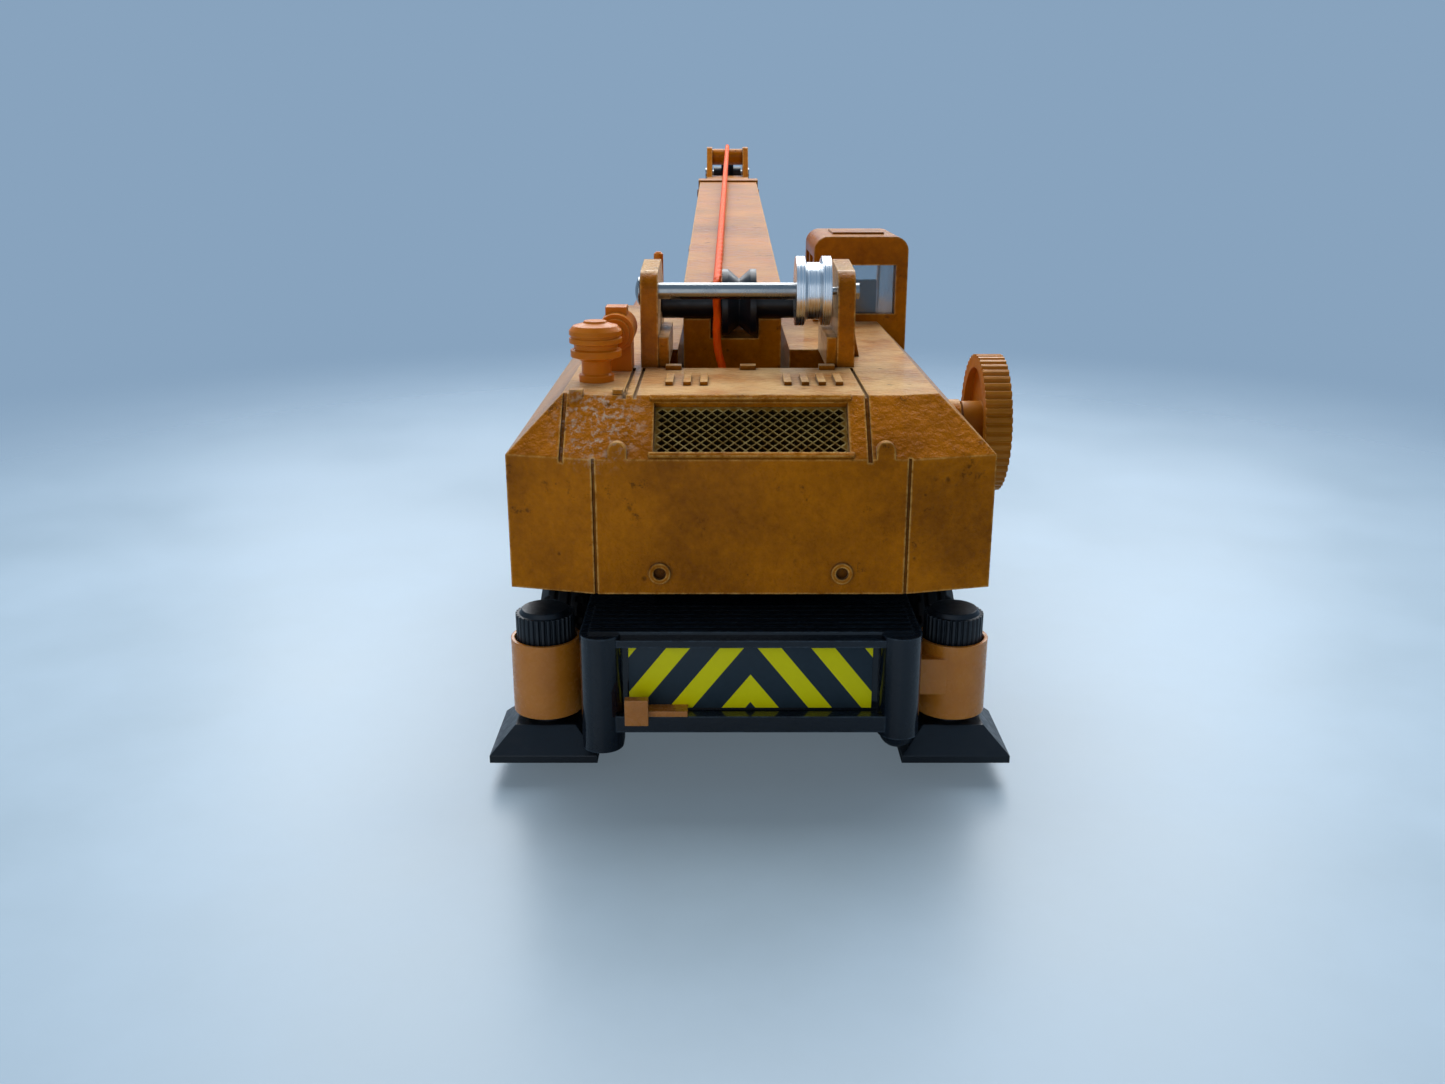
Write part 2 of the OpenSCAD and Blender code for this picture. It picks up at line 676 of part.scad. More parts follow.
// Black pulley with a V groove, loose on the pivot shaft
module grooved_pulley() {
    rim = 0.7;
    root_r = shaft_d / 2 + 0.9;
    color("black") translate([pulley_x0, pivot_y, pivot_z]) rotate([0, 90, 0])
        rotate_extrude() polygon([[shaft_d / 2 + run, 0], [pulley_d / 2, 0], [pulley_d / 2, rim],
            [root_r, pulley_w / 2], [pulley_d / 2, pulley_w - rim], [pulley_d / 2, pulley_w],
            [shaft_d / 2 + run, pulley_w]]);
}

module pivot_shaft() {
    color("black") translate([0, pivot_y, pivot_z]) {
        bar_x(-ear_x + 0.1, ear_x - 0.1, shaft_d / 2);
        bar_x(-ear_x - ear_t + 0.2, ear_x + ear_t - 0.2, journal_r);
    }
}

// Drum and shaft in one piece
module winch_drum() {
    color("black") translate([0, winch_y, winch_z]) {
        bar_x(-ear_x - web, wheel_x + wheel_w - 0.6, winch_d / 2);
        bar_x(drum_x0, drum_x1, drum_r);
        for (x = [drum_x0 - drum_flange_t, drum_x1]) bar_x(x, x + drum_flange_t, drum_flange_r);
    }
}

// Knurled handwheel, dished on both faces round its hub
module handwheel() {
    tooth = 0.35;
    rim = 1.6;
    dish = 0.9;
    hub_l = wheel_x - housing_w / 2 - winch_boss_l - gap;
    color("darkorange") translate([wheel_x, winch_y, winch_z]) rotate([0, 90, 0]) difference() {
        union() {
            difference() {
                knurl(wheel_d / 2, tooth, wheel_teeth, wheel_w);
                for (z = [wheel_w - dish, dish - over])
                    translate([0, 0, z]) cylinder(r = wheel_d / 2 - rim, h = over);
            }
            translate([0, 0, -hub_l]) cylinder(r = wheel_hub_r, h = hub_l + wheel_w - 0.2);
        }
        translate([0, 0, -hub_l - over]) cylinder(r = winch_d / 2 + 0.02, h = hub_l + over + wheel_w - 0.6);
    }
}

// Rope on the drum: it ends at the rear of the drum, where the free rope leaves it upwards
wind_rings = 24;
function wind_point(t) = [wind_x - wind_pitch * (rope_turns - t), winch_y - wind_r * cos(360 * (rope_turns - t)),
    winch_z - wind_r * sin(360 * (rope_turns - t))];
wind_path = concat([for (i = [0:wind_rings * rope_turns]) wind_point(i / wind_rings)],
    [wind_point(rope_turns) + [0, 0, rope_d]]);
wind_least = min([for (i = [0:len(wind_path) - 1 - wind_rings / 2], j = [i + wind_rings / 2:len(wind_path) - 1])
    norm(wind_path[i] - wind_path[j])]) - rope_d;

module rope_winding() {
    echo(least_gap_between_turns = wind_least);
    color("orangered") tube(wind_path, rope_r, 6);
}

// Free rope from the drum up between the rod and the shaft and over the shaft
lead_y = winch_y - wind_r;
function wrap_point(a) = [rope_x, pivot_y + wrap_r * cos(a), pivot_z + wrap_r * sin(a)];
lead_out = 162;
lead_z = winch_z + 2 * rope_d;
function lead_point(k) = [wind_x + (rope_x - wind_x) * min(1, k / 0.6),
    (lead_y + 0.1) * (1 - k) + wrap_point(lead_out)[1] * k, lead_z * (1 - k) + wrap_point(lead_out)[2] * k];
lead_path = concat([[wind_x, lead_y, winch_z + rope_d + 0.25]],
    [for (k = [0, 0.2, 0.4, 0.6, 0.8]) lead_point(k)],
    [for (a = [lead_out:-12:boom_rest + 98]) wrap_point(a)]);

module rope_lead() {
    color("orangered") tube(lead_path, rope_r, 8);
}

rope_end_n = guide_n + guide_r + rope_off;
rope_steps = 12;

module rope_boom() {
    color("orangered") tube([for (i = [0:rope_steps]) let (k = i / rope_steps)
        boom_point(rope_x + (boom_x - rope_x) * k, (guide_s - 0.2) * k,
            wrap_r + 0.05 + (rope_end_n - wrap_r - 0.05) * k)], rope_r, 8);
}

// Boom section of rectangular tube, centred on the boom axis
module section_tube(w, h, s0, s1, solid_to) {
    difference() {
        box([-w / 2, s0, boom_mid_n - h / 2], [w / 2, s1, boom_mid_n + h / 2]);
        box([-w / 2 + boom_wall, solid_to, boom_mid_n - h / 2 + boom_wall],
            [w / 2 - boom_wall, s1 + over, boom_mid_n + h / 2 - boom_wall]);
    }
}

module boom_base() {
    collar = 0.35;
    collar_l = 4;
    lug_t = 1.5;
    lug_x = eye_w / 2 + 0.25;
    lug_r = 1.75;
    rear_s = -0.6;
    color("darkgoldenrod") on_boom() difference() {
        union() {
            section_tube(boom_w, boom_h, rear_s, boom_l, foot_l);
            difference() {
                box([-boom_w / 2 - collar, boom_l - collar_l, boom_mid_n - boom_h / 2 - collar],
                    [boom_w / 2 + collar, boom_l, boom_mid_n + boom_h / 2 + collar]);
                box([-boom_w / 2 + boom_wall, boom_l - collar_l - over, boom_mid_n - boom_h / 2 + boom_wall],
                    [boom_w / 2 - boom_wall, boom_l + over, boom_mid_n + boom_h / 2 - boom_wall]);
            }
            for (x = [-boom_w / 2 - collar - 0.3, boom_w / 2 + collar - 0.1], n = [-2.6, 2.6])
                translate([x, boom_l - collar_l / 2, boom_mid_n + n]) rotate([0, 90, 0])
                    cylinder(r = 0.8, h = 0.4, $fn = 6);
            for (x = [-lug_x - lug_t, lug_x]) {
                translate([0, link_s, link_n]) bar_x(x, x + lug_t, lug_r);
                plate_x(x, x + lug_t) polygon([[link_s - lug_r, link_n], [link_s + lug_r, link_n],
                    [link_s + 4, boom_top - boom_h + 0.2], [link_s - 4, boom_top - boom_h + 0.2]]);
            }
            box([-boom_w / 2 - 0.8, 58, boom_mid_n - 1.2], [-boom_w / 2 + 0.2, 62, boom_mid_n + 1.2]);
        }
        bar_x(-boom_w, boom_w, shaft_d / 2 + 0.02);
        box([-boom_w, rear_s - over, -shaft_d / 2 - 0.02], [boom_w, 0, boom_top + over]);
        bar_x(rope_x - rope_r - boom_x - 0.3, pulley_x0 + pulley_w - boom_x + 0.35, pocket_r);
        translate([0, link_s, link_n]) bar_x(-boom_w, boom_w, luff_pin_r + 0.02);
    }
}

module boom_middle() {
    color("goldenrod") on_boom() section_tube(middle_w, middle_h, middle_s0, middle_s1, middle_s0 + 2);
}

// Inner section with the head: two cheeks that carry the sheave, and a guide lip on top
module boom_tip() {
    cheek_in = head_w / 2 - cheek_t;
    back_s = tip_s1 - 4;
    low_n = boom_mid_n - tip_h / 2 - 0.8;
    color("goldenrod") on_boom() difference() {
        union() {
            section_tube(tip_w, tip_h, tip_s0, tip_s1, tip_s0 + 2);
            for (x = [-head_w / 2, cheek_in]) {
                plate_x(x, x + cheek_t) polygon([[back_s, low_n], [sheave_s - 1.5, sheave_n - 2.6],
                    [sheave_s + 2.6, sheave_n], [sheave_s + 1, sheave_n + 3.4], [guide_s + 2, guide_n + 2.2],
                    [guide_s - 1.6, guide_n + 2.2], [back_s, boom_mid_n + tip_h / 2]]);
                translate([0, sheave_s, sheave_n]) bar_x(x, x + cheek_t, 2.6);
            }
            for (x = [-head_w / 2, tip_w / 2 - boom_wall / 2])
                box([x, back_s, boom_mid_n - tip_h / 2], [x + head_w / 2 - tip_w / 2 + boom_wall / 2,
                    tip_s1, boom_mid_n + tip_h / 2]);
            translate([0, guide_s, guide_n]) bar_x(-cheek_in - 0.1, cheek_in + 0.1, guide_r);
        }
        translate([0, sheave_s, sheave_n]) bar_x(-head_w, head_w, head_pin_r + 0.02);
    }
}

module head_pin() {
    color("silver") on_boom() translate([0, sheave_s, sheave_n]) {
        bar_x(-head_w / 2 - 0.2, head_w / 2 + 0.2, head_pin_r);
        for (x = [-head_w / 2 - 0.5, head_w / 2 + 0.05]) bar_x(x, x + 0.45, 1.3);
    }
}

module head_sheave() {
    rim_r = sheave_r + 1.1;
    side_w = head_w - 2 * cheek_t - 0.6;
    color("black") on_boom() translate([-side_w / 2, sheave_s, sheave_n]) rotate([0, 90, 0])
        rotate_extrude() polygon([[head_pin_r + run, 0], [1.6, 0], [1.6, (side_w - sheave_w) / 2],
            [rim_r, (side_w - sheave_w) / 2], [sheave_r, side_w / 2 - 0.5], [sheave_r, side_w / 2 + 0.5],
            [rim_r, (side_w + sheave_w) / 2], [1.6, (side_w + sheave_w) / 2], [1.6, side_w],
            [head_pin_r + run, side_w]]);
}

// Rope over the guide and the sheave: the straight stretch touches both circles at this angle
head_span = [sheave_s - guide_s, sheave_n - guide_n];
bend_deg = atan2(head_span[1], head_span[0]) + acos((guide_r - sheave_r) / norm(head_span));
head_path = concat(
    [for (i = [0:2]) let (a = 90 + (bend_deg - 90) * i / 2)
        boom_point(boom_x, guide_s + (guide_r + rope_off) * cos(a), guide_n + (guide_r + rope_off) * sin(a))],
    [for (i = [0:8]) let (a = bend_deg + (4 - boom_rest - bend_deg) * i / 8)
        boom_point(boom_x, sheave_s + (sheave_r + rope_off) * cos(a), sheave_n + (sheave_r + rope_off) * sin(a))]);

module rope_tip() {
    color("orangered") tube(head_path, rope_r, 8);
}

// Hoist rope from the sheave to the hook, which hangs in front of the driver's cab
fall_y = boom_y(sheave_s, sheave_n) + sheave_r + rope_off;
fall_z1 = boom_z(sheave_s, sheave_n) - gap;
fall_z0 = 36;
weight_h = 6.5;

module rope_fall() {
    color("orangered") translate([boom_x, fall_y, fall_z0 + 0.05])
        cylinder(r = rope_r, h = fall_z1 - fall_z0 - 0.05);
}

module hook_weight() {
    color("darkgoldenrod") translate([boom_x, fall_y, fall_z0]) rotate_extrude() polygon([[0, 0],
        [0.9, 0], [1, -1], [2.6, -2.2], [2.8, -2.8], [2.8, -5.2], [2.2, -6], [1.3, -weight_h], [0, -weight_h]]);
}

// Hook bent from round bar, with a collar under the weight and a ball at its tip
module hook() {
    bar_r = 0.75;
    bend_r = 2.6;
    shank = 2;
    open_deg = 130;
    z = fall_z0 - weight_h - 0.02;
    color("silver") translate([boom_x, fall_y, z]) {
        translate([0, 0, -0.7]) cylinder(r = 1.3, h = 0.7);
        translate([0, 0, -shank - 0.2]) cylinder(r = bar_r + 0.15, h = shank);
        translate([0, 0, -shank - bend_r]) rotate([90, 0, 90]) {
            rotate([0, 0, -open_deg]) rotate_extrude(angle = 90 + open_deg)
                translate([bend_r, 0]) circle(bar_r);
            translate([bend_r * cos(open_deg), -bend_r * sin(open_deg), 0]) sphere(r = bar_r + 0.25);
        }
    }
}

// Luffing cylinder, hinged at both ends
module on_cylinder() {
    translate([boom_x, barrel_y, barrel_z]) rotate([-90 + luff_deg, 0, 0]) children();
}

module luff_barrel() {
    end_t = 1;
    color("black") on_cylinder() difference() {
        union() {
            translate([0, 0, bore_end - end_t]) cylinder(d = barrel_d, h = barrel_l - bore_end + end_t);
            translate([0, 0, barrel_l - 1.6]) cylinder(d = barrel_d + 0.4, h = 1.2);
            bar_x(-barrel_d / 2 - trunnion_l, barrel_d / 2 + trunnion_l, trunnion_r);
        }
        translate([0, 0, bore_end]) cylinder(d = piston_d + 2 * run, h = barrel_l - bore_end + over);
    }
}

module luff_rod() {
    color("silver") on_cylinder() difference() {
        union() {
            translate([0, 0, luff_l - piston_l]) cylinder(d = piston_d, h = piston_l);
            translate([0, 0, luff_l]) bar_x(-eye_w / 2, eye_w / 2, eye_r);
        }
        translate([0, 0, luff_l]) bar_x(-eye_w, eye_w, luff_pin_r + run);
    }
}

module luff_pin() {
    color("silver") on_boom() translate([0, link_s, link_n])
        bar_x(-eye_w / 2 - 1.75, eye_w / 2 + 1.75, luff_pin_r);
}

// Carrier: spine with wells from below, stern block, outrigger blocks, deck and bumper
module fender_outline() {
    rear0 = rear_axle_y - tyre_d / 2 - 0.6;
    rear1 = rear_axle_y + tandem + tyre_d / 2 + 1.2;
    front0 = AXLES[2][1] - tyre_d / 2 - 1.2;
    polygon([[rear0, fender_z - fender_t], [rear1 - 1, fender_z - fender_t],
        [rear1 - 1, carrier_z - fender_t], [front0 + 1, carrier_z - fender_t],
        [front0 + 1, fender_z - fender_t], [truck_cab_y, fender_z - fender_t], [truck_cab_y, fender_z],
        [front0, fender_z], [front0, carrier_z], [rear1, carrier_z], [rear1, fender_z], [rear0, fender_z]]);
}

module stern() {
    rail = 0.9;
    block_y1 = rear_jack_y + 5.7;
    box([-block_w / 2, panel_y, ledge_z], [block_w / 2, block_y1, carrier_z]);
    plug_h = 1.5;
    for (side = [-1, 1]) {
        z = side < 0 ? post_z : post_z + plug_h;
        translate([side * post_x, stern_y + post_r, z]) cylinder(r = post_r, h = carrier_z - z);
        box([side * post_x - post_r, stern_y + post_r, z],
            [side * post_x + post_r, panel_y + 1.5, carrier_z]);
    }
    translate([post_x, stern_y + post_r + 0.3, post_z + plug_h + 0.2]) sphere(r = post_r - 0.2);
    box([-post_x, panel_y - 1.7, panel_z + panel_h], [post_x, panel_y + 0.1, carrier_z - 0.4]);
    box([-post_x, panel_y - 1.9, ledge_z], [post_x, panel_y + 0.1, panel_z - 0.1]);
    for (i = [0:6])
        box([-block_w / 2 + rail, panel_y - 0.9 + i * 1.25, carrier_z - 0.5],
            [block_w / 2 - rail, panel_y - 0.3 + i * 1.25, carrier_z + 0.25]);
}

module outrigger_tunnel(y) {
    half = beam_step + beam_w / 2 + gap;
    box([-block_w, y - half, beam_z - gap], [block_w, y + half, beam_z + beam_h + gap]);
}

module chassis() {
    wells = [[rear_axle_y + 3, rear_axle_y + tandem - 3], [rear_axle_y + tandem + 3, front_jack_y - 7],
        [front_jack_y + 7, AXLES[2][1] - 3], [AXLES[2][1] + 3, front_axle_y - 3]];
    seam = 0.3;
    locker_x = 24.4;
    locker_y = rear_axle_y + tandem + tyre_d / 2 + 3;
    lockers = [[locker_y, locker_y + 11], [front_jack_y + 8, AXLES[2][1] - tyre_d / 2 - 2.5]];
    bumper_y = truck_cab_y + truck_cab_l;
    notch = jack_d / 2 + 2 * gap;
    color("black") difference() {
        union() {
            box([-spine_w / 2, panel_y, spine_z], [spine_w / 2, truck_cab_y, carrier_z]);
            stern();
            box([-block_w / 2, front_jack_y - 5.7, ledge_z], [block_w / 2, front_jack_y + 5.7, carrier_z]);
            for (x = [-25, spine_w / 2 - 0.5]) plate_x(x, x + 25.5 - spine_w / 2) fender_outline();
            for (x = [-locker_x, 12], y = lockers)
                box([x, y[0], carrier_z - 9.5], [x + locker_x - 12, y[1], carrier_z - 0.5]);
            for (x = [-locker_x - 0.35, locker_x - 0.05], y = lockers) translate([x, (y[0] + y[1]) / 2, carrier_z - 3.4])
                box([0, -1.3, 0], [0.4, 1.3, 0.6]);
            for (y = [AXLES[2][1] + 2:2.4:truck_cab_y - 5])
                box([-20, y, fender_z - 0.2], [20, y + 0.9, fender_z + 0.3]);
            box([-20, truck_cab_y - over, spine_z], [20, bumper_y + over, truck_cab_floor]);
            box([-24.5, bumper_y + 0.05, spine_z - 1.2], [24.5, bumper_y + 2.5, spine_z + 3.4]);
        }
        for (well = wells) box([-spine_w / 2 + wall, well[0], spine_z - over],
            [spine_w / 2 - wall, well[1], carrier_z - 2.2]);
        for (axle = AXLES) translate([0, axle[1], axle_z]) bar_x(-spine_w, spine_w, axle_d / 2 + run);
        for (y = [rear_jack_y, front_jack_y]) outrigger_tunnel(y);
        translate([0, 0, carrier_z]) cylinder(r = ring_r + gap, h = 2 * over);
        translate([0, 0, spine_z - over]) cylinder(r = 3.02, h = carrier_z);
        for (x = [-locker_x - over, locker_x - seam], y = lockers) {
            for (edge = [y[0] + 0.9, y[1] - 0.9 - seam])
                box([x, edge, carrier_z - 8.6], [x + over + seam, edge + seam, carrier_z - 2]);
            for (z = [carrier_z - 8.6, carrier_z - 2 - seam])
                box([x, y[0] + 0.9, z], [x + over + seam, y[1] - 0.9, z + seam]);
        }
        for (side = [-1, 1]) box([side * 18 - 2.6, bumper_y + 2, spine_z - 0.2],
            [side * 18 + 2.6, bumper_y + 2.5 + over, spine_z + 2.6]);
        for (x = [-jack_x - block_w / 2, block_w / 2]) box([x, front_jack_y - notch, carrier_z - fender_t - over],
            [x + jack_x, front_jack_y + notch, carrier_z + over]);
    }
}

module base_plate() {
    screws = [rear_axle_y + tandem / 2, AXLES[2][1] + tandem / 2];
    color("black") difference() {
        union() {
            box([-spine_w / 2 + 0.5, rear_jack_y + 6, spine_z - 1],
                [spine_w / 2 - 0.5, truck_cab_y - 0.5, spine_z]);
            for (y = [-6, 14, 46])
                box([-6, y, spine_z - 1.5], [6, y + 1.2, spine_z - 0.5]);
            for (x = [-8, 7.2])
                box([x, rear_jack_y + 9, spine_z - 1.4], [x + 0.8, truck_cab_y - 5, spine_z - 0.5]);
            for (y = screws) translate([0, y, spine_z - 1.7]) cylinder(r1 = 1.7, r2 = 2.1, h = 1.2);
        }
        translate([0, 0, spine_z - 2]) cylinder(r = 3.02, h = 3);
        for (y = screws, a = [45, 135]) translate([0, y, spine_z - 1.7]) rotate([0, 0, a])
            cube([2.6, 0.5, 1], center = true);
    }
}

module turntable_ring() {
    color("black") translate([0, 0, carrier_z]) rotate_extrude() polygon([[10, 0], [ring_r, 0],
        [ring_r, 1.1], [ring_r - 0.8, 1.4], [ring_r - 0.8, ring_h], [10, ring_h]]);
}

// Hollow steel rivet that joins the crane to the carrier
module slew_pivot() {
    color("silver") difference() {
        union() {
            translate([0, 0, spine_z - 1]) cylinder(r = 3, h = floor_z + gap + 1 - spine_z);
            translate([0, 0, floor_z + gap]) cylinder(r = 4.6, h = 1);
            translate([0, 0, spine_z - 1.8]) cylinder(r = 4.6, h = 0.8);
        }
        translate([0, 0, spine_z - 3]) cylinder(r = 1.8, h = floor_z);
    }
}

// Amber block with a thin strip beside it on the ledge of the stern
module rear_marker() {
    x = -11.7;
    color("orange") {
        box([x - 1.2, panel_y - 2.9, panel_z - 0.7], [x + 1.2, panel_y - 1.9, panel_z + 2.1]);
        box([x - 1.2, panel_y - 2, panel_z - 0.1], [x + 5.2, panel_y, panel_z + 0.5]);
    }
}

module driver_cab_shape(d, z0) {
    cab_shape(-truck_cab_w / 2, truck_cab_w / 2, truck_cab_y, truck_cab_y + truck_cab_l, z0,
        truck_cab_z - 13, truck_cab_z, 4.5, 3, d);
}

module driver_cab() {
    sill = truck_cab_z - 11.5;
    head = truck_cab_z - 3;
    half = truck_cab_w / 2;
    y1 = truck_cab_y + truck_cab_l;
    seam = 0.3;
    color("darkgoldenrod") difference() {
        union() {
            driver_cab_shape(0, truck_cab_floor);
            for (side = [-1, 1]) box([side * 17 - 3.4, y1 - 0.5, truck_cab_floor + 2],
                [side * 17 + 3.4, y1 + 0.35, truck_cab_floor + 6]);
            box([-11, y1 - 0.5, truck_cab_floor + 2], [11, y1 + 0.35, truck_cab_floor + 6.5]);
            for (x = [-half - 0.35, half - 0.3])
                box([x, truck_cab_y + 15.6, sill - 2.4], [x + 0.65, truck_cab_y + 18.2, sill - 1.7]);
            for (x = [-half - 0.35, half - 0.3])
                box([x, truck_cab_y + 2, head + 0.2], [x + 0.65, y1 - 8, head + 0.7]);
            for (x = [-half - 1.9, half - 0.4])
                box([x, y1 - 7.4, sill - 1.4], [x + 2.3, y1 - 6.6, sill - 0.6]);
            for (x = [-half - 1.9, half + 0.7]) box([x, y1 - 7.4, sill - 1.4], [x + 1.2, y1 - 6.6, sill + 5]);
        }
        driver_cab_shape(wall, truck_cab_floor - over);
        box([-half + 3, y1 - 7, sill], [half - 3, y1 + over, head]);
        for (y = [truck_cab_y + 4, truck_cab_y + 15.5])
            box([-half - over, y, sill], [half + over, y + 9.5, head]);
        for (x = [-half + 4, 2.5]) box([x, truck_cab_y - over, sill], [x + half - 6.5, truck_cab_y + 3, head]);
        for (i = [0:3]) box([-9.5, y1, truck_cab_floor + 2.8 + i], [9.5, y1 + over, truck_cab_floor + 3.3 + i]);
        for (x = [-half - over, half - seam], y = [truck_cab_y + 14.2, truck_cab_y + 26.6])
            box([x, y, truck_cab_floor + 1.5], [x + over + seam, y + seam, sill - 0.6]);
        for (x = [-half - over, half - seam]) box([x, truck_cab_y + 14.2, truck_cab_floor + 1.5],
            [x + over + seam, truck_cab_y + 26.6, truck_cab_floor + 1.5 + seam]);
    }
}

module driver_glazing() {
    skin = wall + glass_gap;
    color("lightblue", 0.5) difference() {
        driver_cab_shape(skin, truck_cab_z - 12.5);
        driver_cab_shape(skin + glass_t, truck_cab_z - 12.5 - over);
    }
}

// Floor, two seats, dashboard and steering wheel
module driver_interior() {
    half = truck_cab_w / 2 - wall - glass_t - 0.6;
    y0 = truck_cab_y + 4;
    y1 = truck_cab_y + truck_cab_l - 4;
    z = truck_cab_floor + 4;
    color("dimgray") {
        box([-half, y0, truck_cab_floor], [half, y1, z]);
        for (x = [-12, 12]) {
            box([x - 5, y0 + 4, z - 0.5], [x + 5, y0 + 12, z + 3]);
            plate_x(x - 5, x + 5) polygon([[y0 + 6, z + 2], [y0 + 4.4, z + 11], [y0 + 2.2, z + 11], [y0 + 3, z + 2]]);
        }
        box([-half, y1 - 4, z - 0.5], [half, y1 - 0.2, z + 6]);
        translate([12, y1 - 4, z + 6]) rotate([60, 0, 0]) {
            rotate_extrude() translate([2.6, 0]) circle(0.45, $fn = 24);
            cylinder(r = 0.5, h = 3.4, center = true);
            box([-2.6, -0.3, -0.3], [2.6, 0.3, 0.3]);
        }
    }
}

module headlamps() {
    y = truck_cab_y + truck_cab_l + 2;
    color("white") for (side = [-1, 1])
        box([side * 18 - 2.5, y, spine_z - 0.1], [side * 18 + 2.5, y + 0.8, spine_z + 2.5]);
}

// Wheels: a steel axle with its rims, and the tyres as a group
function tyre_starts(twin) = twin ? [track_x - tyre_w, track_x - 2 * tyre_w - twin_gap] : [track_x - tyre_w];

module rim(w) {
    lip = 0.9;
    difference() {
        rotate_extrude() polygon([[0, 0], [rim_r, 0], [rim_r, w], [rim_r - lip, w],
            [rim_r - lip - 0.6, w - 1.3], [2.4, w - 1.3], [1.9, w - 0.4], [0, w - 0.4]]);
        for (a = [0:60:300]) rotate([0, 0, a]) translate([3.6, 0, w - 1.9]) cylinder(r = 0.55, h = over, $fn = 24);
    }
}

module axle(y, twin) {
    w = twin ? 2 * tyre_w + twin_gap : tyre_w;
    color("silver") translate([0, y, axle_z]) {
        bar_x(-track_x + 1, track_x - 1, axle_d / 2);
        for (side = [-1, 1]) rotate([0, 0, side < 0 ? 180 : 0])
            translate([track_x - w, 0, 0]) rotate([0, 90, 0]) rim(w);
    }
}

// Tyre along X from 0, with two grooves round the tread and lugs cut into both shoulders
module tyre() {
    r = tyre_d / 2;
    groove = 0.35;
    lugs = 20;
    lug_gap = 0.9;
    lug_l = 1.25;
    rotate([0, 90, 0]) difference() {
        rotate_extrude() polygon([[rim_r + 0.02, 0], [r - 1, 0], [r, 1], [r, 1.7], [r - groove, 1.8],
            [r - groove, 2.1], [r, 2.2], [r, tyre_w - 2.2], [r - groove, tyre_w - 2.1],
            [r - groove, tyre_w - 1.8], [r, tyre_w - 1.7], [r, tyre_w - 1], [r - 1, tyre_w],
            [rim_r + 0.02, tyre_w]]);
        for (i = [0:lugs - 1], z = [-over, tyre_w - lug_l]) rotate([0, 0, i * 360 / lugs])
            box([r - 0.6, -lug_gap / 2, z], [r + over, lug_gap / 2, z + lug_l + over]);
    }
}

module tyres(y, twin) {
    color("black") translate([0, y, axle_z])
        for (side = [-1, 1], x = tyre_starts(twin))
            rotate([0, 0, side < 0 ? 180 : 0]) translate([x, 0, 0]) tyre();
}

// Outrigger: sliding beam with the jack cylinder moulded on its end
module outrigger(side, y) {
    beam_y = y - side * beam_step;
    x0 = min(-side * beam_end, side * jack_x);
    x1 = max(-side * beam_end, side * jack_x);
    color("chocolate") difference() {
        union() {
            translate([side * jack_x, y, cup_z0]) cylinder(d = jack_d, h = cup_z1 - cup_z0);
            box([x0, beam_y - beam_w / 2, beam_z], [x1, beam_y + beam_w / 2, beam_z + beam_h]);
        }
        translate([side * jack_x, y, cup_z0 + cup_floor]) cylinder(r = cup_r, h = cup_z1);
        translate([side * jack_x, y, cup_z0 - over]) cylinder(r = stem_r + run, h = cup_z1);
    }
}

// Square pad with sloping faces, a boss and the screw stem
module jack_float(side, y) {
    base = float_w / 2;
    top = float_top_w / 2;
    slant = [[-base, 0], [base, 0], [base, float_rim], [top, float_h], [-top, float_h], [-base, float_rim]];
    color("black") translate([side * jack_x, y, float_z]) {
        intersection() {
            plate_x(-base, base) polygon(slant);
            plate_y(-base, base) polygon(slant);
        }
        translate([0, 0, float_h - 0.2]) cylinder(r = float_boss_r, h = 0.7);
        cylinder(r = stem_r, h = knob_z1 - 2.6 - float_z);
    }
}

module jack_knob(side, y) {
    crown = 0.5;
    tooth = 0.25;
    color("black") translate([side * jack_x, y, knob_z0]) difference() {
        union() {
            knurl(knob_d / 2, tooth, knob_teeth, knob_z1 - knob_z0 - crown);
            translate([0, 0, knob_z1 - knob_z0 - crown])
                cylinder(r1 = knob_d / 2 - tooth - 0.15, r2 = knob_d / 2 - tooth - 0.45, h = crown);
        }
        translate([0, 0, -over]) cylinder(r = stem_r + run, h = knob_z1 - 2.5 - knob_z0 + over);
    }
}

chassis();
base_plate();
turntable_ring();
slew_pivot();
rear_marker();
driver_cab();
driver_glazing();
driver_interior();
headlamps();
for (a = AXLES) {
    axle(a[1], a[2]);
    tyres(a[1], a[2]);
}
for (c = CORNERS) {
    outrigger(c[1], c[2]);
    jack_float(c[1], c[2]);
    jack_knob(c[1], c[2]);
}
crane_housing();
crane_floor();
radiator_grille();
pre_cleaner();
air_cleaner();
exhaust_stack();
operator_cab();
operator_glazing();
operator_seat();
guide_rod();
rope_lead();
winch_drum();
handwheel();
rope_winding();
guide_spool();
grooved_pulley();
boom_base();
pivot_shaft();
luff_pin();
rope_boom();
boom_middle();
boom_tip();
head_pin();
rope_tip();
head_sheave();
luff_barrel();
luff_rod();
rope_fall();
hook_weight();
hook();
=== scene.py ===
"""Toy truck crane: finishes, rope, stripe panel, table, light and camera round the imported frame."""

import json
import math

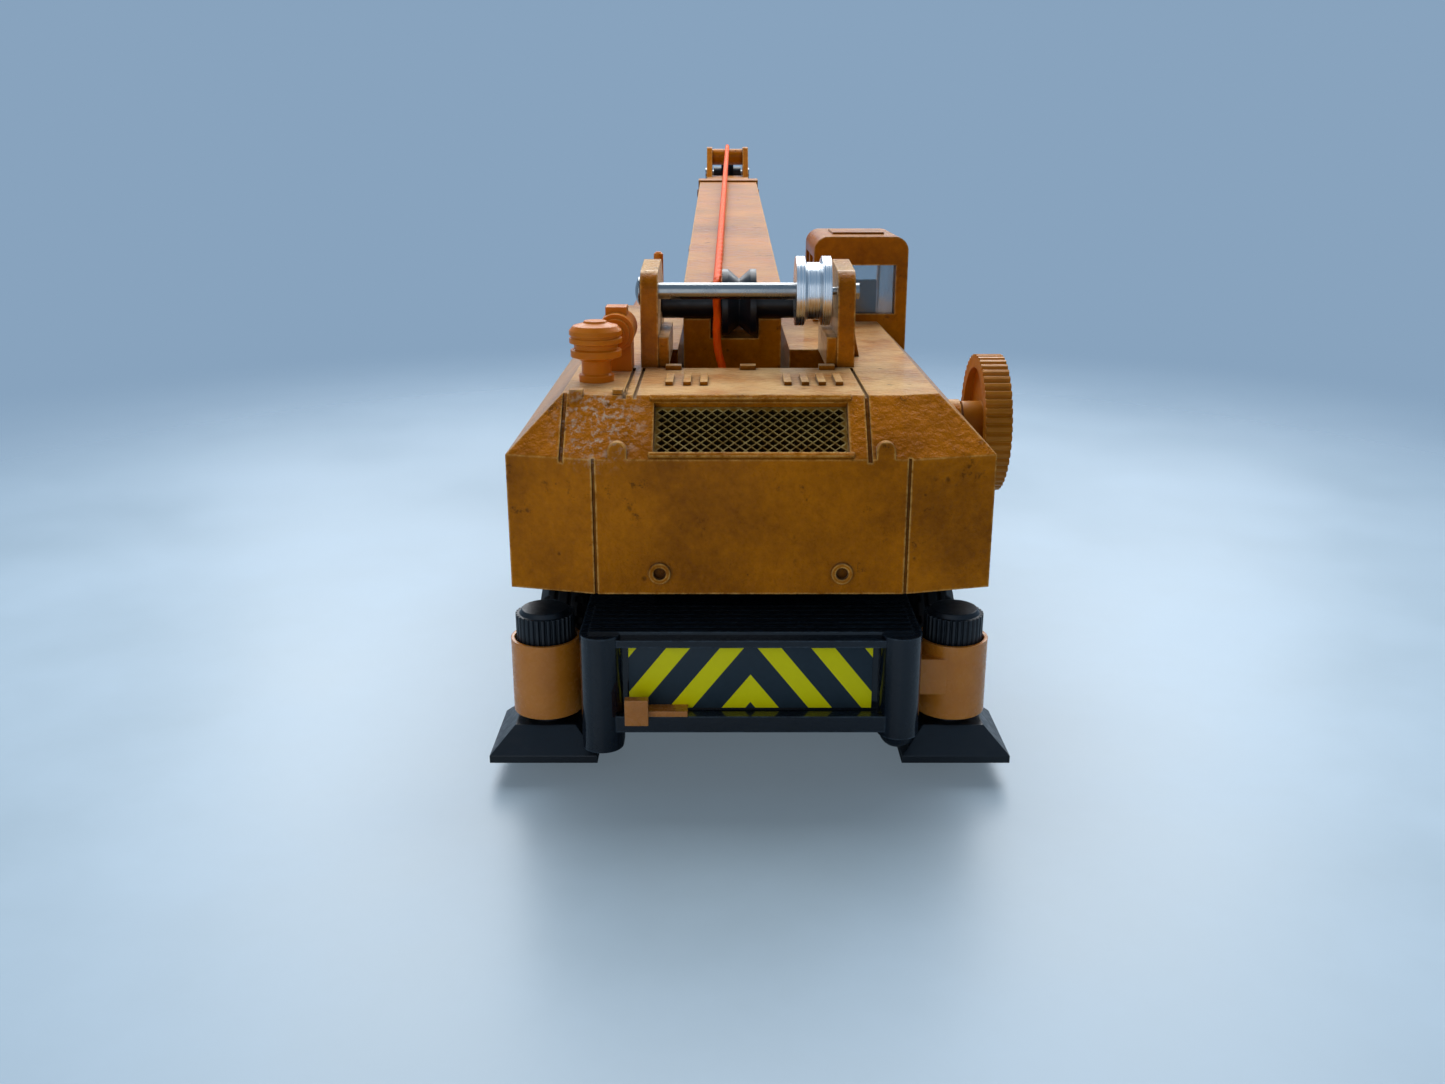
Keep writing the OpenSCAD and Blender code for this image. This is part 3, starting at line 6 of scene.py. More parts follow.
import bpy
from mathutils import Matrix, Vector


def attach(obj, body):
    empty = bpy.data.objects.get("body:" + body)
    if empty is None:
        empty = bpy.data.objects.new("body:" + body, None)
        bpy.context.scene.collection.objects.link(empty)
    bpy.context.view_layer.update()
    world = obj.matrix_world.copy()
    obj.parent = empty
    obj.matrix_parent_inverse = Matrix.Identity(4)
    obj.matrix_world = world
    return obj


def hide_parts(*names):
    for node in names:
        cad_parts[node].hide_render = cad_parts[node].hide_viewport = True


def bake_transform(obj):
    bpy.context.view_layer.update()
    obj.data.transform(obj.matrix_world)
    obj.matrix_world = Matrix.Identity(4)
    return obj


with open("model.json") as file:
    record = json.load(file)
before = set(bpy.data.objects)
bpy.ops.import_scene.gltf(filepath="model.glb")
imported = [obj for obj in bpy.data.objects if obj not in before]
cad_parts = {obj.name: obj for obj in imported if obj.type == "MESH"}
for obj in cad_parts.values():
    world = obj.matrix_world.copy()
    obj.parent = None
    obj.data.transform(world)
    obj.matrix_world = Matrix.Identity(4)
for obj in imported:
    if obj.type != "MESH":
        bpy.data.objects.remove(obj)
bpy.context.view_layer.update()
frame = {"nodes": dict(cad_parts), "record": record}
MM = 0.001
COLOURS = {"data_type": "RGBA"}
EASED = {"interpolation_type": "SMOOTHSTEP"}
# Inputs of a Mix node, whose names repeat: the factor, two numbers, two colours
SHARE, NUMBER_A, NUMBER_B, COLOUR_A, COLOUR_B = 0, 2, 3, 6, 7


def linear(colour):
    """Linear RGBA of an sRGB hex colour."""
    values = [int(colour[i:i + 2], 16) / 255 for i in (0, 2, 4)]
    return [v / 12.92 if v <= 0.04045 else ((v + 0.055) / 1.055) ** 2.4 for v in values] + [1]


def repeats(size):
    """Texture scale at which a pattern repeats every size millimetres."""
    return 1 / (size * MM)


def add(tree, kind, settings=(), inputs=()):
    """Adds one node, with its settings, and its inputs as values or links."""
    node = tree.nodes.new("ShaderNode" + kind)
    for name, value in dict(settings).items():
        setattr(node, name, value)
    for name, value in dict(inputs).items():
        if isinstance(value, bpy.types.NodeSocket):
            tree.links.new(value, node.inputs[name])
        else:
            node.inputs[name].default_value = value
    return node


def blank(name):
    """A material with an empty tree."""
    material = bpy.data.materials.new(name)
    material.use_nodes = True
    material.node_tree.nodes.clear()
    return material, material.node_tree


def cast_enamel(name, light, dark, worn, grime_and_shade, dust, dust_and_highlight_cover, peel, lacquer, scuff=None, bloom=0.0):
    """Stoved enamel sprayed thick on a zinc casting: a gloss skin with orange peel and pits from the
    mould, rubbed pale along the edges, where the pale colour is also a painted highlight, dark in the
    corners with dirt and painted shade, and dull with dust on top, which is also a painted highlight on
    faces that look up.

    The argument after dust is how far the pale dust covers a roof; on faces that look up it is also a
    painted highlight. peel the depth of the orange peel in millimetres, lacquer the weight and IOR of the
    clear coat, scuff the centre and reach of a scuffed patch in millimetres, bloom how much fine dust
    glows at a low angle."""
    material, tree = blank(name)
    place = add(tree, "TexCoord").outputs["Object"]
    # Uneven spray over about a centimetre, and fine mottling in it
    spray = add(tree, "TexNoise", (), {"Vector": place, "Scale": repeats(11), "Detail": 4.0})
    mottle = add(tree, "TexNoise", (), {"Vector": place, "Scale": repeats(1.1), "Detail": 6.0,
                                        "Roughness": 0.7})
    fleck = add(tree, "Math", {"operation": "MULTIPLY_ADD"}, {0: mottle.outputs[0], 1: 0.6, 2: -0.3})
    both = add(tree, "Math", {"operation": "ADD"}, {0: spray.outputs[0], 1: fleck.outputs[0]})
    tone = add(tree, "MapRange", (), {"Value": both.outputs[0], "From Min": 0.3, "From Max": 0.7})
    base = add(tree, "Mix", COLOURS, {SHARE: tone.outputs[0], COLOUR_A: linear(dark),
                                      COLOUR_B: linear(light)})
    # Dust on faces that look up, rubbed off again in patches a few millimetres across; the paler tops are
    # also a painted highlight where light falls from above
    up = add(tree, "SeparateXYZ", (), {0: add(tree, "TexCoord").outputs["Normal"]})
    top = add(tree, "MapRange", (), {"Value": up.outputs[2], "From Min": 0.8, "From Max": 0.98})
    wiped = add(tree, "TexNoise", (), {"Vector": place, "Scale": repeats(7), "Detail": 8.0,
                                       "Roughness": 0.65})
    cover = add(tree, "MapRange", (), {"Value": wiped.outputs[0], "From Min": 0.36, "From Max": 0.62,
                                       "To Min": 0.12 * dust_and_highlight_cover, "To Max": dust_and_highlight_cover})
    haze = add(tree, "Math", {"operation": "MULTIPLY"}, {0: top.outputs[0], 1: cover.outputs[0]})
    base = add(tree, "Mix", COLOURS, {SHARE: haze.outputs[0], COLOUR_A: base.outputs[2],
                                      COLOUR_B: linear(dust)})
    # Corners: dirt and painted shade, darker where the casting shades itself within 1.6 mm
    shade = add(tree, "AmbientOcclusion", {"samples": 8, "only_local": True}, {"Distance": 1.6 * MM})
    dirt_and_shade = add(tree, "MapRange", (), {"Value": shade.outputs["AO"], "From Min": 0.85, "From Max": 0.3,
                                      "To Min": 0.0, "To Max": 0.85})
    base = add(tree, "Mix", COLOURS, {SHARE: dirt_and_shade.outputs[0], COLOUR_A: base.outputs[2],
                                      COLOUR_B: linear(grime_and_shade)})
    # Edges: the paint draws thin over a radius of 0.35 mm and is rubbed there in places; the pale edge
    # colour is also a painted highlight of light caught on the rounded edge
    soft = add(tree, "Bevel", {"samples": 6}, {"Radius": 0.35 * MM})
    face = add(tree, "NewGeometry")
    turn = add(tree, "VectorMath", {"operation": "DOT_PRODUCT"},
               {0: soft.outputs[0], 1: face.outputs["Normal"]})
    edge = add(tree, "MapRange", (), {"Value": turn.outputs["Value"], "From Min": 0.994,
                                      "From Max": 0.94})
    rub = add(tree, "MapRange", (), {"Value": mottle.outputs[0], "From Min": 0.38, "From Max": 0.62,
                                     "To Min": 0.1, "To Max": 0.9})
    open_side = add(tree, "MapRange", (), {"Value": shade.outputs["AO"], "From Min": 0.6,
                                           "From Max": 0.95})
    pale_edge = add(tree, "Math", {"operation": "MULTIPLY"}, {0: edge.outputs[0], 1: rub.outputs[0]})
    pale_edge = add(tree, "Math", {"operation": "MULTIPLY"}, {0: pale_edge.outputs[0], 1: open_side.outputs[0]})
    base = add(tree, "Mix", COLOURS, {SHARE: pale_edge.outputs[0], COLOUR_A: base.outputs[2],
                                      COLOUR_B: linear(worn)})
    # Pits about 4 mm apart, left by the mould and dark with dirt, and a few ragged chips
    bent = add(tree, "TexNoise", (), {"Vector": place, "Scale": repeats(2), "Detail": 3.0})
    drift = add(tree, "VectorMath", {"operation": "MULTIPLY_ADD"},
                {0: bent.outputs[1], 1: [1.2 * MM] * 3, 2: place})
    cells = add(tree, "TexVoronoi", (), {"Vector": drift.outputs[0], "Scale": repeats(4.2)})
    pit = add(tree, "MapRange", EASED, {"Value": cells.outputs["Distance"], "From Min": 0.03,
                                        "From Max": 0.1})
    hole = add(tree, "MapRange", (), {"Value": pit.outputs[0], "From Min": 0.7, "From Max": 0.0,
                                      "To Min": 0.0, "To Max": 0.55})
    base = add(tree, "Mix", COLOURS, {SHARE: hole.outputs[0], COLOUR_A: base.outputs[2],
                                      COLOUR_B: linear(grime_and_shade)})
    ragged = add(tree, "TexNoise", (), {"Vector": place, "Scale": repeats(3.4), "Detail": 12.0,
                                        "Roughness": 0.82})
    chip = add(tree, "MapRange", (), {"Value": ragged.outputs[0], "From Min": 0.585, "From Max": 0.64,
                                      "To Min": 0.0, "To Max": 0.65})
    base = add(tree, "Mix", COLOURS, {SHARE: chip.outputs[0], COLOUR_A: base.outputs[2],
                                      COLOUR_B: linear(grime_and_shade)})
    gloss = add(tree, "MapRange", (), {"Value": mottle.outputs[0], "From Min": 0.3, "From Max": 0.75,
                                       "To Min": 0.24, "To Max": 0.42})
    flat = add(tree, "Mix", (), {SHARE: haze.outputs[0], NUMBER_A: gloss.outputs[0], NUMBER_B: 0.75})
    rough = flat.outputs[0]
    if scuff:
        # Pale patch of scuffed lacquer and dust round one point
        centre, reach = scuff
        away = add(tree, "VectorMath", {"operation": "DISTANCE"}, {0: place, 1: [c * MM for c in centre]})
        near = add(tree, "MapRange", (), {"Value": away.outputs["Value"], "From Min": reach * MM,
                                          "From Max": 0.45 * reach * MM})
        flake = add(tree, "TexNoise", (), {"Vector": place, "Scale": repeats(0.8), "Detail": 7.0,
                                           "Roughness": 0.75})
        scrape = add(tree, "MapRange", (), {"Value": flake.outputs[0], "From Min": 0.5, "From Max": 0.6,
                                            "To Min": 0.0, "To Max": 0.7})
        patch = add(tree, "Math", {"operation": "MULTIPLY"}, {0: near.outputs[0], 1: scrape.outputs[0]})
        base = add(tree, "Mix", COLOURS, {SHARE: patch.outputs[0], COLOUR_A: base.outputs[2],
                                          COLOUR_B: linear("CDBFAF")})
        dull = add(tree, "Mix", (), {SHARE: patch.outputs[0], NUMBER_A: rough, NUMBER_B: 0.7})
        rough = dull.outputs[0]
    # Orange peel 1 mm across, on a casting that is itself wavy
    ripple = add(tree, "TexNoise", (), {"Vector": place, "Scale": repeats(1), "Detail": 4.0,
                                        "Roughness": 0.6})
    skin = add(tree, "Bump", (), {"Height": ripple.outputs[0], "Distance": peel * MM,
                                  "Normal": soft.outputs[0]})
    skin = add(tree, "Bump", (), {"Height": pit.outputs[0], "Distance": 0.12 * MM,
                                  "Normal": skin.outputs[0]})
    coat_weight, coat_ior = lacquer
    paint = add(tree, "BsdfPrincipled", (), {
        "Base Color": base.outputs[2], "Roughness": rough, "Normal": skin.outputs[0], "IOR": 1.5,
        "Specular IOR Level": 0.04, "Coat Weight": coat_weight, "Coat IOR": coat_ior,
        "Coat Roughness": 0.1, "Sheen Weight": bloom, "Sheen Roughness": 0.3,
        "Sheen Tint": linear("FFE2B8")})
    add(tree, "OutputMaterial", (), {"Surface": paint.outputs[0]})
    return material


def moulded_abs(name, light, dark, worn, rough, bleed=0.0, shine=0.2):
    """Injection-moulded ABS: even colour with faint flow marks, a fine spark-eroded grain and paler edges.

    bleed is how far light spreads in it, shine its specular level."""
    material, tree = blank(name)
    place = add(tree, "TexCoord").outputs["Object"]
    flow = add(tree, "TexNoise", (), {"Vector": place, "Scale": repeats(5), "Detail": 3.0,
                                      "Distortion": 1.2})
    tone = add(tree, "MapRange", (), {"Value": flow.outputs[0], "From Min": 0.3, "From Max": 0.7})
    base = add(tree, "Mix", COLOURS, {SHARE: tone.outputs[0], COLOUR_A: linear(dark),
                                      COLOUR_B: linear(light)})
    soft = add(tree, "Bevel", {"samples": 6}, {"Radius": 0.18 * MM})
    face = add(tree, "NewGeometry")
    turn = add(tree, "VectorMath", {"operation": "DOT_PRODUCT"},
               {0: soft.outputs[0], 1: face.outputs["Normal"]})
    rub = add(tree, "TexNoise", (), {"Vector": place, "Scale": repeats(0.8), "Detail": 5.0})
    edge = add(tree, "MapRange", (), {"Value": turn.outputs["Value"], "From Min": 0.985,
                                      "From Max": 0.8, "To Min": 0.0, "To Max": 0.6})
    pale_edge = add(tree, "Math", {"operation": "MULTIPLY"}, {0: edge.outputs[0], 1: rub.outputs[0]})
    base = add(tree, "Mix", COLOURS, {SHARE: pale_edge.outputs[0], COLOUR_A: base.outputs[2],
                                      COLOUR_B: linear(worn)})
    gloss = add(tree, "MapRange", (), {"Value": rub.outputs[0], "From Min": 0.3, "From Max": 0.7,
                                       "To Min": rough - 0.07, "To Max": rough + 0.1})
    # Spark-eroded grain is 0.05 mm; drawn at 0.25 mm so that it shows
    grain = add(tree, "TexNoise", (), {"Vector": place, "Scale": repeats(0.25), "Detail": 3.0})
    skin = add(tree, "Bump", (), {"Height": grain.outputs[0], "Distance": 0.012 * MM,
                                  "Normal": soft.outputs[0]})
    plastic = add(tree, "BsdfPrincipled", (), {
        "Base Color": base.outputs[2], "Roughness": gloss.outputs[0], "Normal": skin.outputs[0],
        "IOR": 1.53, "Specular IOR Level": shine, "Subsurface Weight": bleed,
        "Subsurface Radius": [1, 0.5, 0.25], "Subsurface Scale": 0.5 * MM})
    add(tree, "OutputMaterial", (), {"Surface": plastic.outputs[0]})
    return material


def drawn_steel(name, colour, rough):
    """Bright drawn steel: hairlines along X, the axis of the rods and pins, with thin smears of oil."""
    material, tree = blank(name)
    place = add(tree, "TexCoord").outputs["Object"]
    along = add(tree, "Mapping", (), {"Vector": place, "Scale": [0.04, 1, 1]})
    # Hairlines are 0.02 mm apart; drawn at 0.12 mm so that they show
    hair = add(tree, "TexNoise", (), {"Vector": along.outputs[0], "Scale": repeats(0.12), "Detail": 4.0})
    smear = add(tree, "TexNoise", (), {"Vector": place, "Scale": repeats(3), "Detail": 4.0})
    film = add(tree, "MapRange", (), {"Value": smear.outputs[0], "From Min": 0.35, "From Max": 0.7,
                                      "To Min": rough, "To Max": rough + 0.18})
    soft = add(tree, "Bevel", {"samples": 4}, {"Radius": 0.12 * MM})
    skin = add(tree, "Bump", (), {"Height": hair.outputs[0], "Distance": 0.004 * MM,
                                  "Normal": soft.outputs[0]})
    tone = add(tree, "Mix", COLOURS, {SHARE: smear.outputs[0], COLOUR_A: linear(colour),
                                      COLOUR_B: linear("8E9092")})
    metal = add(tree, "BsdfPrincipled", (), {
        "Base Color": tone.outputs[2], "Metallic": 1.0, "Roughness": film.outputs[0],
        "Normal": skin.outputs[0]})
    add(tree, "OutputMaterial", (), {"Surface": metal.outputs[0]})
    return material


def turned_aluminium(name, axis_y, axis_z):
    """Aluminium turned on a lathe: bright, with the rings that the tool leaves round the spool's axis."""
    material, tree = blank(name)
    place = add(tree, "TexCoord").outputs["Object"]
    centred = add(tree, "Mapping", (), {"Vector": place, "Location": [0, -axis_y * MM, -axis_z * MM]})
    across = add(tree, "VectorMath", {"operation": "MULTIPLY"}, {0: centred.outputs[0], 1: [0, 1, 1]})
    radius = add(tree, "VectorMath", {"operation": "LENGTH"}, {0: across.outputs[0]})
    side = add(tree, "SeparateXYZ", (), {0: place})
    ring = add(tree, "Math", {"operation": "ADD"}, {0: radius.outputs["Value"], 1: side.outputs[0]})
    # The feed is 0.05 mm a turn; drawn at 0.14 mm so that it shows
    cut = add(tree, "TexNoise", {"noise_dimensions": "1D"},
              {"W": ring.outputs[0], "Scale": repeats(0.14), "Detail": 3.0})
    film = add(tree, "MapRange", (), {"Value": cut.outputs[0], "From Min": 0.3, "From Max": 0.7,
                                      "To Min": 0.18, "To Max": 0.36})
    soft = add(tree, "Bevel", {"samples": 4}, {"Radius": 0.12 * MM})
    skin = add(tree, "Bump", (), {"Height": cut.outputs[0], "Distance": 0.012 * MM,
                                  "Normal": soft.outputs[0]})
    tone = add(tree, "Mix", COLOURS, {SHARE: cut.outputs[0], COLOUR_A: linear("C4C9CE"),
                                      COLOUR_B: linear("E6E9EB")})
    metal = add(tree, "BsdfPrincipled", (), {
        "Base Color": tone.outputs[2], "Metallic": 1.0, "Roughness": film.outputs[0],
        "Normal": skin.outputs[0]})
    add(tree, "OutputMaterial", (), {"Surface": metal.outputs[0]})
    return material


def tyre_rubber(name):
    """Moulded black rubber: nearly matt, greyed by dust that sits in its pores."""
    material, tree = blank(name)
    place = add(tree, "TexCoord").outputs["Object"]
    dust = add(tree, "TexNoise", (), {"Vector": place, "Scale": repeats(2.5), "Detail": 7.0,
                                      "Roughness": 0.7})
    tone = add(tree, "MapRange", (), {"Value": dust.outputs[0], "From Min": 0.45, "From Max": 0.8})
    base = add(tree, "Mix", COLOURS, {SHARE: tone.outputs[0], COLOUR_A: linear("17181A"),
                                      COLOUR_B: linear("3A3A39")})
    pore = add(tree, "TexNoise", (), {"Vector": place, "Scale": repeats(0.3), "Detail": 3.0})
    soft = add(tree, "Bevel", {"samples": 4}, {"Radius": 0.25 * MM})
    skin = add(tree, "Bump", (), {"Height": pore.outputs[0], "Distance": 0.03 * MM,
                                  "Normal": soft.outputs[0]})
    gloss = add(tree, "MapRange", (), {"Value": dust.outputs[0], "From Min": 0.3, "From Max": 0.7,
                                       "To Min": 0.55, "To Max": 0.8})
    rubber = add(tree, "BsdfPrincipled", (), {
        "Base Color": base.outputs[2], "Roughness": gloss.outputs[0], "Normal": skin.outputs[0],
        "IOR": 1.52})
    add(tree, "OutputMaterial", (), {"Surface": rubber.outputs[0]})
    return material


def clear_styrene(name, tint, rough):
    """Clear moulded polystyrene: the windows and lamp lenses, with faint ripples from the mould."""
    material, tree = blank(name)
    place = add(tree, "TexCoord").outputs["Object"]
    ripple = add(tree, "TexNoise", (), {"Vector": place, "Scale": repeats(4), "Detail": 2.0})
    skin = add(tree, "Bump", (), {"Height": ripple.outputs[0], "Distance": 0.05 * MM})
    haze = add(tree, "MapRange", (), {"Value": ripple.outputs[0], "From Min": 0.3, "From Max": 0.7,
                                      "To Min": rough, "To Max": rough + 0.05})
    pane = add(tree, "BsdfPrincipled", (), {
        "Base Color": linear(tint), "Roughness": haze.outputs[0], "IOR": 1.59,
        "Transmission Weight": 0.92, "Normal": skin.outputs[0]})
    add(tree, "OutputMaterial", (), {"Surface": pane.outputs[0]})
    return material


def twisted_nylon(name):
    """Three-strand nylon cord: bright orange and a little translucent, with filaments across the lay."""
    material, tree = blank(name)
    turns = add(tree, "UVMap", {"uv_map": "lay"}).outputs[0]
    place = add(tree, "TexCoord").outputs["Object"]
    yarn = add(tree, "Mapping", (), {"Vector": turns, "Rotation": [0, 0, 0.5], "Scale": [14, 2, 1]})
    thread = add(tree, "TexNoise", (), {"Vector": yarn.outputs[0], "Scale": 2.0, "Detail": 3.0})
    fade = add(tree, "TexNoise", (), {"Vector": place, "Scale": repeats(7), "Detail": 2.0})
    tone = add(tree, "MapRange", (), {"Value": thread.outputs[0], "From Min": 0.3, "From Max": 0.7})
    base = add(tree, "Mix", COLOURS, {SHARE: tone.outputs[0], COLOUR_A: linear("FF4600"),
                                      COLOUR_B: linear("FF6C06")})
    base = add(tree, "Mix", {"data_type": "RGBA", "blend_type": "MULTIPLY"},
               {SHARE: 0.25, COLOUR_A: base.outputs[2], COLOUR_B: fade.outputs[0]})
    skin = add(tree, "Bump", (), {"Height": thread.outputs[0], "Distance": 0.03 * MM})
    cord = add(tree, "BsdfPrincipled", (), {
        "Base Color": base.outputs[2], "Roughness": 0.5, "Normal": skin.outputs[0],
        "Specular IOR Level": 0.06, "Subsurface Weight": 0.15, "Subsurface Radius": [1, 0.4, 0.2],
        "Subsurface Scale": 0.4 * MM})
    add(tree, "OutputMaterial", (), {"Surface": cord.outputs[0]})
    return material


def stripe_print(name, foot):
    """Yellow bars printed on slate vinyl: they rise to the middle, from foot in millimetres upwards."""
    pitch, slope, start_at = 6.9, 0.8, foot + 0.35
    material, tree = blank(name)
    place = add(tree, "TexCoord").outputs["Object"]
    axes = add(tree, "SeparateXYZ", (), {0: place})
    side = add(tree, "Math", {"operation": "ABSOLUTE"}, {0: axes.outputs[0]})
    lean = add(tree, "Math", {"operation": "MULTIPLY_ADD"},
               {0: side.outputs[0], 1: 1 / slope, 2: axes.outputs[2]})
    bar = add(tree, "Math", {"operation": "MULTIPLY_ADD"},
              {0: lean.outputs[0], 1: repeats(pitch), 2: -start_at / pitch})
    part = add(tree, "Math", {"operation": "FRACT"}, {0: bar.outputs[0]})
    # A little under half of each pitch is yellow
    lit = add(tree, "MapRange", (), {"Value": part.outputs[0], "From Min": 0.455, "From Max": 0.445})
    start = add(tree, "MapRange", (), {"Value": part.outputs[0], "From Min": 0.0, "From Max": 0.01})
    ink = add(tree, "Math", {"operation": "MULTIPLY"}, {0: lit.outputs[0], 1: start.outputs[0]})
    spot = add(tree, "TexNoise", (), {"Vector": place, "Scale": repeats(0.7), "Detail": 5.0})
    yellow = add(tree, "Mix", COLOURS, {SHARE: spot.outputs[0], COLOUR_A: linear("EEE700"),
                                        COLOUR_B: linear("F6F004")})
    slate = add(tree, "Mix", COLOURS, {SHARE: spot.outputs[0], COLOUR_A: linear("22303A"),
                                       COLOUR_B: linear("2B3A45")})
    base = add(tree, "Mix", COLOURS, {SHARE: ink.outputs[0], COLOUR_A: slate.outputs[2],
                                      COLOUR_B: yellow.outputs[2]})
    gloss = add(tree, "MapRange", (), {"Value": spot.outputs[0], "From Min": 0.3, "From Max": 0.7,
                                       "To Min": 0.34, "To Max": 0.5})
    skin = add(tree, "Bump", (), {"Height": spot.outputs[0], "Distance": 0.01 * MM})
    vinyl = add(tree, "BsdfPrincipled", (), {
        "Base Color": base.outputs[2], "Roughness": gloss.outputs[0], "Normal": skin.outputs[0],
        "IOR": 1.5, "Specular IOR Level": 0.2})
    add(tree, "OutputMaterial", (), {"Surface": vinyl.outputs[0]})
    return material


def table_laminate(name):
    """Pale blue-white laminate with rubbed marks, fading into the background away from the toy."""
    material, tree = blank(name)
    place = add(tree, "TexCoord").outputs["Object"]
    cloud = add(tree, "TexNoise", (), {"Vector": place, "Scale": repeats(45), "Detail": 5.0,
                                       "Roughness": 0.6})
    speck = add(tree, "TexNoise", (), {"Vector": place, "Scale": repeats(1.4), "Detail": 6.0,
                                       "Roughness": 0.8})
    tone = add(tree, "MapRange", (), {"Value": cloud.outputs[0], "From Min": 0.35, "From Max": 0.65})
    mark = add(tree, "MapRange", (), {"Value": speck.outputs[0], "From Min": 0.7, "From Max": 0.78,
                                      "To Min": 0.0, "To Max": 0.5})
    base = add(tree, "Mix", COLOURS, {SHARE: tone.outputs[0], COLOUR_A: linear("9CB3C5"),
                                      COLOUR_B: linear("A6BED2")})
    base = add(tree, "Mix", COLOURS, {SHARE: mark.outputs[0], COLOUR_A: base.outputs[2],
                                      COLOUR_B: linear("7C8A94")})
    # Greyer towards its far side, which lies nearest to the softbox: painted shade that offsets the
    # softbox's stronger light there
    depth = add(tree, "SeparateXYZ", (), {0: place})
    grey = add(tree, "MapRange", EASED, {"Value": depth.outputs[1], "From Min": -0.06, "From Max": 0.16,
                                         "To Min": 0.0, "To Max": 0.7})
    base = add(tree, "Mix", COLOURS, {SHARE: grey.outputs[0], COLOUR_A: base.outputs[2],
                                      COLOUR_B: linear("7F95A8")})
    gloss = add(tree, "MapRange", (), {"Value": cloud.outputs[0], "From Min": 0.3, "From Max": 0.7,
                                       "To Min": 0.3, "To Max": 0.42})
    board = add(tree, "BsdfPrincipled", (), {"Base Color": base.outputs[2],
                                             "Roughness": gloss.outputs[0], "IOR": 1.45})
    # Part of what the camera sees is the table's own pale colour, so that the shadow stays soft
    eye = add(tree, "Math", {"operation": "MULTIPLY"},
              {0: add(tree, "LightPath").outputs["Is Camera Ray"], 1: 0.16})
    pale = add(tree, "Emission", (), {"Color": linear("C9DFF0"), "Strength": 1.0})
    board = add(tree, "MixShader", (), {0: eye.outputs[0], 1: board.outputs[0], 2: pale.outputs[0]})
    flat = add(tree, "VectorMath", {"operation": "MULTIPLY"}, {0: place, 1: [1, 1, 0]})
    away = add(tree, "VectorMath", {"operation": "DISTANCE"}, {0: flat.outputs[0], 1: [0, 0.01, 0]})
    fade = add(tree, "MapRange", EASED, {"Value": away.outputs["Value"], "From Min": 0.08,
                                         "From Max": 0.26})
    clear = add(tree, "BsdfTransparent")
    both = add(tree, "MixShader", (), {0: fade.outputs[0], 1: board.outputs[0], 2: clear.outputs[0]})
    add(tree, "OutputMaterial", (), {"Surface": both.outputs[0]})
    return material


# Finishes of the CAD pieces, by the record's slots
SPOOL_Y, SPOOL_Z = -29.5, 49.2
AMBER_COAT = (0.4, 1.2)
FINISH = {
    "amber_paint": cast_enamel("amber enamel", "C07000", "905000", "F6C470", "2A1602", "E0B47A",
                               0.36, 0.14, AMBER_COAT),
    "inner_boom_paint": cast_enamel("amber enamel on the inner boom", "B86C00", "965400", "F6C470",
                                    "2A1602", "E0B47A", 0.3, 0.1, AMBER_COAT),
    # The black enamel's blue tint is black paint plus a painted reflection of the pale blue table
    "black_paint": cast_enamel("black enamel", "040E1B", "030914", "3A4957", "020304", "2C3B48",
                               0.42, 0.3, (0.9, 1.45)),
    "floor_paint": cast_enamel("grey primer", "2A2C2E", "232527", "4A4D50", "101112", "5A5D5F",
                               0.4, 0.05, (0.2, 1.3)),
    "orange_plastic": moulded_abs("orange ABS", "D27A14", "C06A08", "F4B468", 0.34, 0.15, 0.12),
    "jack_plastic": moulded_abs("tan-orange ABS", "D6882E", "C87A22", "EAB870", 0.24, 0.1, 0.4),
    "amber_plastic": moulded_abs("amber ABS", "C88038", "B8722C", "E6B47C", 0.26, 0.1, 0.4),
    "black_plastic": moulded_abs("black ABS", "0A121A", "070D14", "3A4854", 0.36, 0.0, 0.36),
    "interior_plastic": moulded_abs("black cab ABS", "191B1D", "121416", "34373A", 0.55),
    "clear_plastic": clear_styrene("clear polystyrene", "E4EDF2", 0.04),
    "lamp_plastic": clear_styrene("frosted polystyrene", "F2F1EA", 0.3),
    "steel": drawn_steel("drawn steel", "92928E", 0.16),
    "wheel_steel": drawn_steel("plated wheel steel", "C9CBCD", 0.24),
    "tyre_rubber": tyre_rubber("tyre rubber"),
    "spool_aluminium": turned_aluminium("turned aluminium", SPOOL_Y, SPOOL_Z),
}
# Pieces whose finish differs from the rest of their slot
OWN_FINISH = {
    "handwheel": moulded_abs("ochre ABS", "BE7A16", "A8690A", "DCA85C", 0.38, 0.05),
    "radiator_grille": cast_enamel("worn enamel on the grille", "8C6A24", "6E4F16", "D8C98A", "1E1405",
                                   "B89A60", 0.3, 0.03, AMBER_COAT),
    # The housing's pale, thick dust on top faces is dust and also a painted highlight on the deck
    "crane_housing": cast_enamel("amber enamel on the housing", "C47400", "8E5000", "F6C470", "2A1602",
                                 "F2CE94", 0.66, 0.42, AMBER_COAT, ((-15.5, -52, 38.6), 5.8), 0.5),
}
for entry in frame["record"]["subparts"]:
    if entry["material_slot"] in FINISH:
        mesh = frame["nodes"][entry["node"]].data
        mesh.materials.clear()
        mesh.materials.append(OWN_FINISH.get(entry["node"], FINISH[entry["material_slot"]]))


def smooth(points, step):
    """Points about step apart on a smooth curve through the given ones."""
    ends = [points[0] * 2 - points[1]] + points + [points[-1] * 2 - points[-2]]
    found = []
    for a, b, c, d in zip(ends, ends[1:], ends[2:], ends[3:]):
        count = max(1, round((c - b).length / step))
        for i in range(count):
            t = i / count
            found.append(0.5 * (2 * b + (c - a) * t + (2 * a - 5 * b + 4 * c - d) * t ** 2
                                + (3 * b - a - 3 * c + d) * t ** 3))
    return found + [points[-1]]


